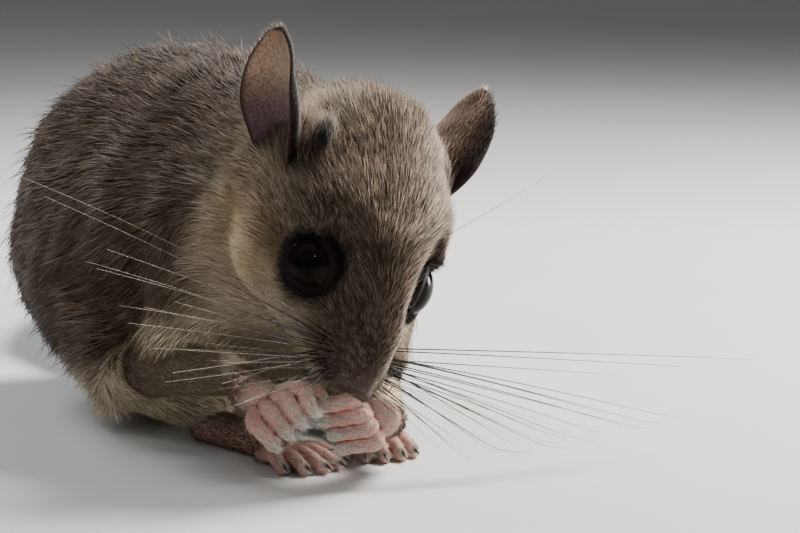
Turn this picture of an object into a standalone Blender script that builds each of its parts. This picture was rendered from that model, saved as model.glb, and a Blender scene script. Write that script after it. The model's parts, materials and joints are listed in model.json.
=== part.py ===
"""An edible dormouse at life size, sitting hunched on its hind feet with both hands at its mouth.

The model is +Z up and stands on z = 0. The animal's body lies along Y with its head towards -Y,
and its own left side is at +X. Sizes are in metres. The solids are the outline of the coat.
"""

import math
import random

import bmesh
import bpy
from mathutils import Matrix, Vector

MM = 0.001
GAP = 0.3 * MM
RIGHT, LEFT = -1, 1
TAG = {RIGHT: "_r", LEFT: "_l"}

# The head. Its frame has its middle between the eyes and looks along its own -Y.
HEAD_MIDDLE = Vector((0, -35, 29.3)) * MM
HEAD_TURN = -12
HEAD_PITCH = 51
HEAD_TILT = 27
EYE_SPREAD = 8.6 * MM
EYE_RADIUS = 3.75 * MM
EYE_AIM = Vector((0.74, -0.42, 0.50)).normalized()
NOSE_REACH = 18.4 * MM
NOSE_DROP = 4.3 * MM
SKULL_HALF_WIDTH = 13.6 * MM
SKULL_HALF_LENGTH = 15 * MM
MOUTH_HEIGHT = -8.15 * MM
LIP_RADIUS = 0.62 * MM

# The ears, in the head's frame.
EAR_ROOT = Vector((13.6, 18.0, 1.7)) * MM
EAR_AIM = Vector((0.30, 0.70, 0.64)).normalized()
EAR_OPENING = Vector((1, 0, 0))
EAR_LENGTH = 16.6 * MM
EAR_WIDTH = 14.4 * MM
EAR_WIDEST = 0.50
EAR_SUNK = 0.36
EAR_WALL = 0.9 * MM

# The trunk, from the top of the arched back to the seat on the floor.
BACK_HEIGHT = 59.5 * MM
TRUNK_HALF_WIDTH = 29 * MM
TRUNK_MIDDLE = -2 * MM
RUMP_END = 63 * MM

# Digits and claws.
FINGER_RADIUS = 1.05 * MM
TOE_RADIUS = 1.15 * MM
CLAW_LENGTH = 2.0 * MM
CLAW_RADIUS = 0.36 * MM

# The tail lies on the floor behind the body, and its long hair stands out to both sides.
TAIL_ROOT = Vector((TRUNK_MIDDLE / MM, 51, 0)) * MM
TAIL_LENGTH = 122 * MM
TAIL_TURN = 84
TAIL_HALF_WIDTH = 15 * MM
TAIL_HALF_HEIGHT = 8.8 * MM
TAIL_CORE_SHARE = 0.45
TAIL_PARTS = 4
TAIL_ROWS_IN_PART = 3
TAIL_LOCKS_AROUND = 6
TAIL_LOCK_LENGTH = 25 * MM
TAIL_LOCK_HALF_WIDTH = 4.6 * MM
TAIL_LOCK_HALF_THICKNESS = 0.75 * MM

WHISKER_COUNT = 7
WHISKER_LONGEST = 64 * MM
WHISKER_SHORTEST = 28 * MM
WHISKER_ROOT_RADIUS = 0.28 * MM
WHISKER_TIP_RADIUS = 0.13 * MM
WHISKER_CLEARANCE = 3.2 * MM

FLAT_ANGLE = math.radians(1.5)
BODY_TRIANGLES = 4600
TRUNK_THINNING = 0.5
HAND_TRIANGLES = 320
FOOT_TRIANGLES = 300
LIMB_TRIANGLES = 130

COLOURS = {
    "grey_coat": ((0.19, 0.15, 0.12), 0.9),
    "pale_coat": ((0.55, 0.47, 0.38), 0.9),
    "ear_skin": ((0.24, 0.15, 0.12), 0.7),
    "bare_skin": ((0.62, 0.31, 0.27), 0.6),
    "nose_skin": ((0.30, 0.18, 0.17), 0.5),
    "eye": ((0.01, 0.008, 0.007), 0.08),
    "tail_coat": ((0.26, 0.22, 0.19), 0.9),
}


def mm(x, y, z):
    return Vector((x, y, z)) * MM


def turned(turn, pitch, tilt):
    """Tilt about the nose's own line, then nod about X, then turn about Z."""
    turn_m = Matrix.Rotation(math.radians(turn), 3, "Z")
    pitch_m = Matrix.Rotation(math.radians(pitch), 3, "X")
    tilt_m = Matrix.Rotation(math.radians(tilt), 3, "Y")
    return turn_m @ pitch_m @ tilt_m


HEAD_AXES = turned(HEAD_TURN, HEAD_PITCH, HEAD_TILT)
HEAD_PLACE = Matrix.Translation(HEAD_MIDDLE) @ HEAD_AXES.to_4x4()


def on_head(point):
    return HEAD_PLACE @ Vector(point)


def mirrored(vector, side):
    """The vector for this side of the head, from the one for the left side."""
    return Vector((vector[0] * side, vector[1], vector[2]))


# General shapes


def clear_scene():
    for obj in list(bpy.data.objects):
        bpy.data.objects.remove(obj, do_unlink=True)


def make_material(name):
    colour, roughness = COLOURS[name]
    material = bpy.data.materials.new(name)
    material.use_nodes = True
    shader = material.node_tree.nodes["Principled BSDF"]
    shader.inputs["Base Color"].default_value = (*colour, 1)
    shader.inputs["Roughness"].default_value = roughness
    shader.inputs["Metallic"].default_value = 0
    return material


def object_from(bm, name):
    mesh = bpy.data.meshes.new(name)
    bm.to_mesh(mesh)
    bm.free()
    obj = bpy.data.objects.new(name, mesh)
    bpy.context.scene.collection.objects.link(obj)
    return obj


def discard(obj):
    mesh = obj.data
    bpy.data.objects.remove(obj, do_unlink=True)
    bpy.data.meshes.remove(mesh)


def copy_of(obj, name):
    twin = obj.copy()
    twin.data = obj.data.copy()
    twin.name = name
    bpy.context.scene.collection.objects.link(twin)
    return twin


def apply_modifiers(obj):
    """The object's mesh becomes what its modifiers make of it, and they are removed."""
    bpy.context.view_layer.update()
    graph = bpy.context.evaluated_depsgraph_get()
    made = bpy.data.meshes.new_from_object(obj.evaluated_get(graph))
    old = obj.data
    obj.modifiers.clear()
    obj.data = made
    bpy.data.meshes.remove(old)
    return obj


def ball_points(centre, radii, around, up):
    """Points on an ellipsoid, for a hull."""
    points = []
    for i in range(up + 1):
        polar = math.pi * i / up
        for k in range(1 if i in (0, up) else around):
            angle = math.tau * k / around
            unit = (math.sin(polar) * math.cos(angle), math.sin(polar) * math.sin(angle), math.cos(polar))
            points.append(Vector(centre) + Vector(u * r for u, r in zip(unit, radii)))
    return points


def hull(points, name="hull"):
    """The closed convex body round these points."""
    bm = bmesh.new()
    for point in points:
        bm.verts.new(point)
    made = bmesh.ops.convex_hull(bm, input=bm.verts, use_existing_faces=False)
    inside = {v for v in made["geom_interior"] + made["geom_unused"] if isinstance(v, bmesh.types.BMVert)}
    bmesh.ops.delete(bm, geom=list(inside), context="VERTS")
    bmesh.ops.recalc_face_normals(bm, faces=bm.faces)
    return object_from(bm, name)


def ellipsoid(centre, radii, name="ellipsoid", around=24, up=14):
    return hull(ball_points(centre, radii, around, up), name)


def chain(stations, around=16, up=10):
    """Overlapping hulls from each (centre, radii) to the next, which make a limb or a trunk."""
    pieces = []
    for (a, ra), (b, rb) in zip(stations, stations[1:]):
        pieces.append(hull(ball_points(a, ra, around, up) + ball_points(b, rb, around, up)))
    return pieces


def limb(stations, around=14, up=8):
    """A chain of round stations, each (centre, radius)."""
    return chain([(centre, (radius,) * 3) for centre, radius in stations], around, up)


def rod(path, across, through, flat_side, sides=6, name="rod"):
    """A closed tapered rod. Across and through are its half sizes at each point of the path."""
    bm = bmesh.new()
    rings = []
    for i, point in enumerate(path):
        ahead = (path[min(i + 1, len(path) - 1)] - path[max(i - 1, 0)]).normalized()
        wide = ahead.cross(flat_side).normalized()
        high = wide.cross(ahead)
        ring = []
        for k in range(sides):
            angle = math.tau * (k / sides + 0.25)
            offset = wide * (across[i] * math.cos(angle)) + high * (through[i] * math.sin(angle))
            ring.append(bm.verts.new(point + offset))
        rings.append(ring)
    for here, there in zip(rings, rings[1:]):
        for k in range(sides):
            n = (k + 1) % sides
            bm.faces.new((here[k], here[n], there[n], there[k]))
    bm.faces.new(rings[0])
    bm.faces.new(rings[-1])
    bmesh.ops.triangulate(bm, faces=bm.faces)
    bmesh.ops.recalc_face_normals(bm, faces=bm.faces)
    return object_from(bm, name)


def fused(pieces, name, voxel, smoothing):
    """One closed skin over pieces that overlap, with the joins between them rounded off."""
    bm = bmesh.new()
    for piece in pieces:
        bm.from_mesh(piece.data)
        discard(piece)
    obj = object_from(bm, name)
    skin = obj.modifiers.new("skin", "REMESH")
    skin.mode = "VOXEL"
    skin.voxel_size = voxel
    soft = obj.modifiers.new("soften", "SMOOTH")
    soft.factor = 0.5
    soft.iterations = smoothing
    return apply_modifiers(obj)


def thinned(obj, triangles):
    """The same form with about this many triangles."""
    now = sum(len(face.vertices) - 2 for face in obj.data.polygons)
    if now > triangles:
        fewer = obj.modifiers.new("fewer", "DECIMATE")
        fewer.ratio = triangles / now
        apply_modifiers(obj)
    return obj


def largest_surface(obj):
    """Keeps the object's largest closed surface, so that no scrap of a cut is left."""
    bm = bmesh.new()
    bm.from_mesh(obj.data)
    bodies, seen = [], set()
    for start in bm.verts:
        if start in seen:
            continue
        seen.add(start)
        body = front = [start]
        while front:
            near = {edge.other_vert(vert) for vert in front for edge in vert.link_edges} - seen
            seen |= near
            front = list(near)
            body = body + front
        bodies.append(body)

    def size(body):
        spans = [max(v.co[i] for v in body) - min(v.co[i] for v in body) for i in range(3)]
        return math.prod(spans)

    bodies.sort(key=size)
    bmesh.ops.delete(bm, geom=[v for body in bodies[:-1] for v in body], context="VERTS")
    bm.to_mesh(obj.data)
    bm.free()
    return obj


def slivers_merged(obj):
    """Joins the narrow faces that a cut leaves into their flat neighbours."""
    bm = bmesh.new()
    bm.from_mesh(obj.data)
    bmesh.ops.dissolve_limit(bm, angle_limit=FLAT_ANGLE, verts=bm.verts, edges=bm.edges)
    bmesh.ops.triangulate(bm, faces=bm.faces)
    bm.to_mesh(obj.data)
    bm.free()
    return obj


def cut(obj, other, operation="DIFFERENCE"):
    """Cuts obj by other, or keeps what they share, and leaves other as it was."""
    step = obj.modifiers.new("cut", "BOOLEAN")
    step.operation = operation
    step.object = other
    return slivers_merged(largest_surface(apply_modifiers(obj)))


def united(first, rest, name):
    """One closed body from pieces whose roots are sunk in the first of them."""
    group = bpy.data.collections.new("pieces of " + name)
    for piece in rest:
        group.objects.link(piece)
    step = first.modifiers.new("join", "BOOLEAN")
    step.operation = "UNION"
    step.operand_type = "COLLECTION"
    step.collection = group
    step.solver = "MANIFOLD"
    apply_modifiers(first)
    for piece in rest:
        discard(piece)
    bpy.data.collections.remove(group)
    first.name = name
    return largest_surface(first)


def grown(obj, amount):
    """A copy that is larger by this amount all over."""
    twin = copy_of(obj, "grown " + obj.name)
    bm = bmesh.new()
    bm.from_mesh(twin.data)
    bm.normal_update()
    for vert, normal in [(v, v.normal.copy()) for v in bm.verts]:
        vert.co += normal * amount
    bm.to_mesh(twin.data)
    bm.free()
    return twin


def cleared(obj, neighbours):
    """Trims obj until it keeps the gap to each of its neighbours."""
    for neighbour in neighbours:
        room = grown(neighbour, GAP)
        cut(obj, room)
        discard(room)
    return obj


def parted(whole, shape, name):
    """Takes the share of whole that lies in shape out as a node, with a thin cut between them."""
    inner = grown(shape, -GAP / 2)
    outer = grown(shape, GAP / 2)
    piece = copy_of(whole, name)
    cut(piece, inner, "INTERSECT")
    cut(whole, outer)
    for helper in (inner, outer, shape):
        discard(helper)
    return piece


def block(low, high, name="block"):
    """A box between two corners."""
    bm = bmesh.new()
    bmesh.ops.create_cube(bm, size=1)
    for vert in bm.verts:
        vert.co = Vector(b + (h - b) * (c + 0.5) for b, h, c in zip(low, high, vert.co))
    return object_from(bm, name)


def flat_below(obj):
    """Cuts a flat where the form dips below the floor."""
    under = block(mm(-200, -200, -60), mm(200, 300, 0))
    cut(obj, under)
    discard(under)
    return obj


# Trunk


def trunk_forms():
    """Rump, belly, arched back, chest, shoulders and nape."""
    half = TRUNK_HALF_WIDTH
    top = BACK_HEIGHT
    middle_x = TRUNK_MIDDLE
    rump = (Vector((middle_x, RUMP_END - 26 * MM, 25.8 * MM)), (0.98 * half, 26 * MM, 27 * MM))
    seat = (Vector((middle_x, 25 * MM, 25 * MM)), (half, 25 * MM, 26.4 * MM))
    arch = (Vector((middle_x, 29 * MM, top - 25 * MM)), (0.98 * half, 26.5 * MM, 25 * MM))
    middle = (Vector((middle_x, 8 * MM, top - 26 * MM)), (0.84 * half, 22 * MM, 25.5 * MM))
    chest = (Vector((0, -8 * MM, 31 * MM)), (0.68 * half, 17 * MM, 22.5 * MM))
    nape = (on_head(mm(0, 17, 3)), (12.5 * MM, 12 * MM, 12 * MM))
    throat = (on_head(mm(-1, 9, -8)), (9 * MM, 9 * MM, 9 * MM))
    pieces = chain([rump, seat, middle, chest, nape], 26, 16)
    pieces += chain([rump, arch, middle], 26, 16)
    pieces += chain([chest, throat], 20, 12)
    return pieces


def haunch_form(side, extra=0, around=20, up=12):
    """The thick thigh against the flank, from the hip down to the knee."""
    middle = Vector((TRUNK_MIDDLE, 0, 0))
    hip_radii = [radius * MM + extra for radius in (9.5, 15, 16)]
    knee_radii = [radius * MM + extra for radius in (7, 9.5, 9.8)]
    hip = (mm(19 * side, 27, 22) + middle, hip_radii)
    knee = (mm(19.5 * side, 9, 12) + middle, knee_radii)
    return chain([hip, knee], around, up)


SHOULDER = {RIGHT: mm(-14.5, -12, 28), LEFT: mm(13, -11, 26)}
ELBOW = {RIGHT: mm(-22.5, -8.5, 13.2), LEFT: mm(12.5, -12, 11.5)}
WRIST = {RIGHT: mm(-17.4, -31.5, 14.8), LEFT: mm(5.6, -33, 7.4)}


def upper_arm_form(side, extra=0, around=18, up=12):
    """From the shoulder back and down to the elbow."""
    shoulder = (SHOULDER[side], (7.5 * MM + extra, 9 * MM + extra, 10 * MM + extra))
    elbow = (ELBOW[side], (5 * MM + extra, 5.6 * MM + extra, 5.8 * MM + extra))
    return chain([shoulder, elbow], around, up)


# Head


def head_forms():
    """Skull, cheeks, muzzle, whisker pads, chin and nose."""
    pieces = []
    skull = (mm(0, 8.5, 2.2), (SKULL_HALF_WIDTH, SKULL_HALF_LENGTH, 11.2 * MM))
    brow = (mm(0, -1.5, 0.6), (9.7 * MM, 8.5 * MM, 8.6 * MM))
    bridge = (mm(0, -9.5, -1.6), (5.4 * MM, 5.5 * MM, 5.2 * MM))
    tip = (Vector((0, 2.8 * MM - NOSE_REACH, -NOSE_DROP)), (3.1 * MM, 2.6 * MM, 2.8 * MM))
    pieces += chain([skull, brow, bridge, tip], 26, 16)
    for side in (RIGHT, LEFT):
        jowl = (mm(8.8 * side, 8, -7), (6.3 * MM, 10 * MM, 7.8 * MM))
        cheek = (mm(5.4 * side, -4, -5.4), (4.6 * MM, 5.6 * MM, 4.8 * MM))
        pad = (mm(3.0 * side, -12, -5.2), (3.4 * MM, 4.6 * MM, 3.4 * MM))
        pieces += chain([jowl, cheek, pad], 20, 12)
    jaw = (mm(0, 2.5, -9.8), (6.4 * MM, 7 * MM, 4.6 * MM))
    chin = (mm(0, -10.4, -9.2), (2.6 * MM, 3.0 * MM, 2.3 * MM))
    pieces += chain([jaw, chin], 18, 12)
    pieces.append(nose_form(0))
    for piece in pieces:
        piece.data.transform(HEAD_PLACE)
    return pieces


def nose_form(extra):
    """The bare nose pad, in the head's frame."""
    centre = Vector((0, 1.4 * MM - NOSE_REACH, 0.3 * MM - NOSE_DROP))
    return ellipsoid(centre, (2.3 * MM + extra, 1.7 * MM + extra, 1.9 * MM + extra), "nose form", 16, 10)


def nostril_form(side):
    centre = Vector((1.25 * MM * side, -0.25 * MM - NOSE_REACH, 0.25 * MM - NOSE_DROP))
    return ellipsoid(centre, (0.55 * MM, 1.1 * MM, 0.65 * MM), "nostril", 8, 6)


def eye_frame(side):
    """Where the eyeball is, with its own Z looking out, in the head's frame."""
    aim = mirrored(EYE_AIM, side)
    axes = aim.to_track_quat("Z", "Y").to_matrix().to_4x4()
    return Matrix.Translation(Vector((EYE_SPREAD * side, -0.3 * MM, 0.2 * MM))) @ axes


def lid_rim(side):
    """The swollen ring of both lids, close round the front of the eyeball."""
    around, section = 20, 6
    middle_radius = EYE_RADIUS * 0.95
    middle_height = EYE_RADIUS * 0.38
    thickness = 0.95 * MM
    bm = bmesh.new()
    rings = []
    for i in range(around):
        angle = math.tau * i / around
        out = Vector((math.cos(angle), math.sin(angle), 0))
        ring = []
        for k in range(section):
            turn = math.tau * k / section
            outward = out * (middle_radius + thickness * math.cos(turn))
            upward = Vector((0, 0, middle_height + thickness * math.sin(turn)))
            ring.append(bm.verts.new(outward + upward))
        rings.append(ring)
    for i in range(around):
        here, there = rings[i], rings[(i + 1) % around]
        for k in range(section):
            n = (k + 1) % section
            bm.faces.new((here[k], there[k], there[n], here[n]))
    bmesh.ops.recalc_face_normals(bm, faces=bm.faces)
    bm.transform(HEAD_PLACE @ eye_frame(side))
    return object_from(bm, "lid rim")


def lips(side):
    """The upper lip along the whisker pad and the lower lip along the chin, one above the other."""
    upper = [mm(0.5, -15.0, -7.2), mm(3.0, -15.1, -7.3), mm(5.2, -13.0, -7.35), mm(5.2, -10.0, -7.4),
             mm(4.9, -6.2, -7.6)]
    lower = [mm(0.2, -13.3, -8.95), mm(1.9, -12.5, -8.95), mm(2.9, -10.4, -8.95), mm(3.9, -7.0, -8.9)]
    pieces = []
    for path in (upper, lower):
        path = [on_head(mirrored(point, side)) for point in path]
        sizes = [LIP_RADIUS] * (len(path) - 1) + [LIP_RADIUS * 0.5]
        pieces.append(rod(path, sizes, sizes, HEAD_AXES @ Vector((0, 0, 1)), 6, "lip"))
    return pieces


def eyeball(side, radius, name):
    obj = ellipsoid((0, 0, 0), (radius,) * 3, name, 14, 8)
    obj.data.transform(HEAD_PLACE @ eye_frame(side))
    return obj


def ear_frame(side):
    """The ear's own frame: Z to its tip, and X out of the open side of its cup."""
    aim = mirrored(EAR_AIM, side)
    across = aim.cross(mirrored(EAR_OPENING, side)).normalized()
    axes = Matrix((across.cross(aim), across, aim)).transposed()
    return Matrix.Translation(mirrored(EAR_ROOT, side)) @ axes.to_4x4()


def ear_point(along, across):
    """A point of the cup's wall. Along runs from 0 at the root to 1, across from -1 to 1."""
    past = (along - EAR_WIDEST) / (1 - EAR_WIDEST)
    below = 1 - along / EAR_WIDEST
    share = math.sqrt(max(1 - past * past, 0)) if past > 0 else 1 - 0.62 * below ** 1.6
    half = EAR_WIDTH / 2 * max(share, 0.10)
    curl = 1.20 - 0.80 * along
    radius = half / math.sin(curl)
    lean = 1.4 * MM * math.sin(math.pi * along)
    x = radius * (math.cos(curl) - math.cos(across * curl)) + lean
    z = EAR_LENGTH * (along - EAR_SUNK * (1 - along) ** 2)
    return Vector((x, radius * math.sin(across * curl), z))


def ear(side, name):
    """A thin leaf curled into a cup, narrow at its root and round at its tip."""
    long_steps, wide_steps = 9, 8
    bm = bmesh.new()
    grid = []
    for i in range(long_steps + 1):
        along = math.sin(math.pi / 2 * i / long_steps)
        grid.append([bm.verts.new(ear_point(along, 2 * k / wide_steps - 1)) for k in range(wide_steps + 1)])
    for i in range(long_steps):
        for k in range(wide_steps):
            bm.faces.new((grid[i][k], grid[i][k + 1], grid[i + 1][k + 1], grid[i + 1][k]))
    bmesh.ops.triangulate(bm, faces=bm.faces)
    obj = object_from(bm, name)
    wall = obj.modifiers.new("wall", "SOLIDIFY")
    wall.thickness = EAR_WALL
    wall.offset = 0
    apply_modifiers(obj)
    bm = bmesh.new()
    bm.from_mesh(obj.data)
    bm.transform(HEAD_PLACE @ ear_frame(side))
    bmesh.ops.triangulate(bm, faces=bm.faces)
    bmesh.ops.recalc_face_normals(bm, faces=bm.faces)
    bm.to_mesh(obj.data)
    bm.free()
    return obj


def whiskers(side):
    """Stiff whiskers in a fan, the upper ones the longest, curving down and back to their tips."""
    draw = random.Random(31 + side)
    rods = []
    for k in range(WHISKER_COUNT):
        low = k / (WHISKER_COUNT - 1)
        aim = Vector((0.94, 0.00, 0.36)).lerp(Vector((0.82, -0.54, 0.20)), low)
        aim = (aim + mm(draw.uniform(-30, 30), draw.uniform(-50, 50), draw.uniform(-40, 40))).normalized()
        length = WHISKER_LONGEST + (WHISKER_SHORTEST - WHISKER_LONGEST) * low
        root = mm(4.6, -10.2 - 2.6 * (k % 2), -3.6 - 0.42 * k)
        path, across = [], []
        steps = 4
        for i in range(steps + 1):
            t = i / steps
            bend = Vector((0.02, 0.07, -0.13)) * length * t * t
            point = on_head(mirrored(root + aim * (length * t - 2.2 * MM) + bend, side))
            above = point.z - WHISKER_CLEARANCE
            point.z = WHISKER_CLEARANCE + 0.5 * (above + math.hypot(above, 2 * MM))
            path.append(point)
            across.append(WHISKER_ROOT_RADIUS + (WHISKER_TIP_RADIUS - WHISKER_ROOT_RADIUS) * t)
        rods.append(rod(path, across, across, HEAD_AXES @ Vector((0, 0, 1)), 4, "whisker"))
    return rods


# Hands and feet


def digit(base, knuckle, tip, radius):
    """A finger or toe, thicker at its knuckle and at the pad of its tip."""
    return limb([(base, 1.15 * radius), (knuckle, 1.1 * radius), (tip, 0.95 * radius)], 10, 6)


def claw(tip, ahead, down):
    """A small hooked claw."""
    ahead = ahead.normalized()
    path = [tip - ahead * 0.8 * MM]
    for t in (0.35, 0.7, 1.0):
        path.append(tip + ahead * CLAW_LENGTH * t + down * CLAW_LENGTH * 0.45 * t * t)
    sizes = [CLAW_RADIUS * 1.2, CLAW_RADIUS * 1.1, CLAW_RADIUS * 0.75, CLAW_RADIUS * 0.3]
    side = ahead.cross(down).normalized()
    return rod(path, sizes, sizes, side, 4, "claw")


def hand(name, wrist, palm, knuckles, tips, back):
    """A palm with four fingers, whose bases and tips lie on two lines, and a stub of a thumb."""
    palm_aim = ((knuckles[0] + knuckles[1]) / 2 - wrist).normalized()
    pieces = chain([(wrist, (2.6 * MM, 2.6 * MM, 2.4 * MM)), (palm, (3.6 * MM, 3.2 * MM, 2.8 * MM))], 14, 8)
    claws = []
    for k in range(4):
        t = k / 3
        base = palm.lerp(knuckles[0].lerp(knuckles[1], t), 0.55)
        knuckle = knuckles[0].lerp(knuckles[1], t) + back * 0.9 * MM * math.sin(math.pi * (0.2 + 0.6 * t))
        tip = tips[0].lerp(tips[1], t)
        pieces += digit(base, knuckle, tip, FINGER_RADIUS)
        claws.append(claw(tip, tip - knuckle, -back))
    thumb = palm - back * 2.4 * MM + palm_aim * 0.6 * MM
    pieces += limb([(palm, 1.4 * MM), (thumb, 1.0 * MM)], 8, 6)
    solid = thinned(fused(pieces, name, 0.32 * MM, 4), HAND_TRIANGLES)
    return united(solid, claws, name)


def foot(name, heel, toes_middle, spread):
    """A long sole flat on the floor with five toes, the middle ones the longest."""
    ahead = (toes_middle - heel).normalized()
    side = Vector((ahead.y, -ahead.x, 0)).normalized()
    length = (toes_middle - heel).length
    ball = heel + ahead * length * 0.62
    ball.z = 2.2 * MM
    heel = Vector((heel.x, heel.y, 2.9 * MM))
    stations = [(heel, (2.9 * MM, 3.2 * MM, 3.0 * MM)), (ball, (3.9 * MM, 3.0 * MM, 2.3 * MM))]
    pieces = chain(stations, 16, 10)
    claws = []
    for k in range(5):
        fan = (k - 2) / 2
        base = ball + side * fan * 2.9 * MM - Vector((0, 0, 0.7 * MM))
        reach = length * (0.38 - 0.09 * fan * fan)
        aim = (ahead + side * fan * spread).normalized()
        knuckle = base + aim * reach * 0.5
        knuckle.z = 2.2 * MM
        tip = base + aim * reach
        tip.z = 0.95 * TOE_RADIUS
        pieces += digit(base, knuckle, tip, TOE_RADIUS)
        start = tip + Vector((0, 0, 0.35 * MM))
        claws.append(claw(start, aim + Vector((0, 0, 0.18)), Vector((0, 0, -1))))
    solid = thinned(fused(pieces, name, 0.34 * MM, 4), FOOT_TRIANGLES)
    return flat_below(united(solid, claws, name))


PALM = {RIGHT: mm(-16.9, -37, 13.4), LEFT: mm(0.8, -39, 9.0)}
KNUCKLES = {
    RIGHT: (mm(-12.6, -41.4, 14.2), mm(-18.4, -40.4, 9.8)),
    LEFT: (mm(-5.0, -42, 11.6), mm(-1.2, -42, 6.2)),
}
TIPS = {
    RIGHT: (mm(-11.6, -42.6, 11.6), mm(-16.6, -42, 7.4)),
    LEFT: (mm(-9.0, -41.4, 10.6), mm(-5.4, -41, 5.6)),
}
HAND_BACK = {RIGHT: Vector((-0.55, -0.65, 0.52)), LEFT: Vector((0.25, -0.94, 0.25))}
HEEL = {RIGHT: mm(-12, -3, 0), LEFT: mm(11.5, -1, 0)}
TOES_MIDDLE = {RIGHT: mm(-4.8, -32, 0), LEFT: mm(6.4, -28.5, 0)}


def forearm(side):
    elbow, wrist = ELBOW[side], WRIST[side]
    stations = [(elbow.lerp(wrist, 0.1), 4.3 * MM), (elbow.lerp(wrist, 0.5), 3.7 * MM), (wrist, 2.6 * MM)]
    return thinned(fused(limb(stations), "forearm" + TAG[side], 0.5 * MM, 4), LIMB_TRIANGLES)


def shin(side):
    knee = mm(17.5 * side + TRUNK_MIDDLE / MM, 4, 9)
    heel = HEEL[side] + mm(0, -1.5, 5)
    stations = [(knee, 5.4 * MM), (heel, 3.4 * MM)]
    return thinned(fused(limb(stations), "shin" + TAG[side], 0.5 * MM, 4), LIMB_TRIANGLES)


# Tail


def tail_half_width(t):
    """Slim at the root, full for most of its length and drawn in at the tip."""
    rise = min(1, 0.55 + 1.6 * t)
    fall = 1 - 0.30 * max(0, (t - 0.75) / 0.25) ** 1.5
    return TAIL_HALF_WIDTH * rise * fall


def tail_axis(t):
    """The tail's middle line: its point, the way ahead and the way to its side."""
    steps = 60
    point = Vector(TAIL_ROOT)
    heading = 0
    for i in range(steps):
        heading = math.radians(TAIL_TURN) * (t * (i + 0.5) / steps) ** 1.3
        point += Vector((math.sin(heading), math.cos(heading), 0)) * TAIL_LENGTH * t / steps
    ahead = Vector((math.sin(heading), math.cos(heading), 0))
    half_height = tail_half_width(t) / TAIL_HALF_WIDTH * TAIL_HALF_HEIGHT
    point.z = 0.97 * half_height
    return point, ahead, Vector((ahead.y, -ahead.x, 0))


def tail_point(t, angle, share):
    """A point of the tail's coat: share is 0 on its middle line and 1 at the hair's tips."""
    point, _, side = tail_axis(t)
    half = tail_half_width(t)
    high = half * TAIL_HALF_HEIGHT / TAIL_HALF_WIDTH
    return point + side * half * share * math.cos(angle) + Vector((0, 0, high * share * math.sin(angle)))


def tail_core(start, end, name):
    """The tail under its hair, flat at both ends of this part."""
    steps, around = 4, 10
    bm = bmesh.new()
    rings = []
    for i in range(steps + 1):
        t = start + (end - start) * i / steps
        angles = [math.tau * k / around for k in range(around)]
        rings.append([bm.verts.new(tail_point(t, angle, TAIL_CORE_SHARE)) for angle in angles])
    for here, there in zip(rings, rings[1:]):
        for k in range(around):
            n = (k + 1) % around
            bm.faces.new((here[k], here[n], there[n], there[k]))
    bm.faces.new(rings[0])
    bm.faces.new(rings[-1])
    bmesh.ops.triangulate(bm, faces=bm.faces)
    bmesh.ops.recalc_face_normals(bm, faces=bm.faces)
    return object_from(bm, name)


def tail_lock(root_t, angle, length, draw):
    """A flat lock that leaves the core, bends back and lies along the tail to its tip."""
    stations = (-0.10, 0.22, 0.62, 1.0)
    widths = (0.75, 1.0, 0.72, 0.10)
    bend = draw.uniform(-0.06, 0.06)
    reach = 1 - draw.uniform(0, 0.03)
    path = []
    for u in stations:
        rise = 1 - (1 - max(u, 0)) ** 1.6
        share = TAIL_CORE_SHARE + (reach - TAIL_CORE_SHARE) * rise
        if u < 0:
            share = TAIL_CORE_SHARE * 0.62
        path.append(tail_point(root_t + u * length / TAIL_LENGTH, angle + bend * u, share))
    point, _, side = tail_axis(root_t)
    outward = side * math.cos(angle) + Vector((0, 0, math.sin(angle)))
    across = [TAIL_LOCK_HALF_WIDTH * w for w in widths]
    through = [1.1 * TAIL_LOCK_HALF_THICKNESS * max(w, 0.3) for w in widths]
    return rod(path, across, through, outward, 3, "lock")


def tail_part(number):
    """One length of the tail: its core and the locks that are rooted in it."""
    draw = random.Random(70 + number)
    name = "tail_%d" % number
    share = 1 / TAIL_PARTS
    gap = GAP / 2 / TAIL_LENGTH
    start = (number - 1) * share + gap
    end = number * share - gap
    core_end = end if number < TAIL_PARTS else end - 0.10
    core = tail_core(start, core_end, name)
    locks = []
    rows = TAIL_ROWS_IN_PART if number < TAIL_PARTS else TAIL_ROWS_IN_PART - 1
    for row in range(rows):
        root_t = start + (core_end - start) * (row + 0.45) / rows
        if number == 1 and row == 0:
            continue
        length = min(TAIL_LOCK_LENGTH, (1.0 - root_t) * TAIL_LENGTH)
        for k in range(TAIL_LOCKS_AROUND):
            angle = math.tau * (k + 0.5 * (row % 2)) / TAIL_LOCKS_AROUND + draw.uniform(-0.1, 0.1)
            locks.append(tail_lock(root_t, angle, length * draw.uniform(0.95, 1.0), draw))
    return flat_below(united(core, locks, name))


# The whole animal


def body_and_head():
    """The whole animal without its ears, tail, forearms, hands, shins and feet."""
    pieces = trunk_forms()
    for side in (RIGHT, LEFT):
        pieces += haunch_form(side)
        pieces += upper_arm_form(side)
    trunk = fused(pieces, "trunk", 1.1 * MM, 22)
    head = fused(head_forms(), "head forms", 0.45 * MM, 6)
    whole = thinned(fused([trunk, head], "abdomen", 0.6 * MM, 4), BODY_TRIANGLES)
    forms = [lid_rim(RIGHT), lid_rim(LEFT)] + lips(RIGHT) + lips(LEFT)
    return flat_below(united(whole, forms, "abdomen"))


def head_piece(whole, centre, radii, name):
    """Parts what lies in an ellipsoid of the head's frame."""
    shape = ellipsoid(centre, radii, "share", 14, 8)
    shape.data.transform(HEAD_PLACE)
    return parted(whole, shape, name)


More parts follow.
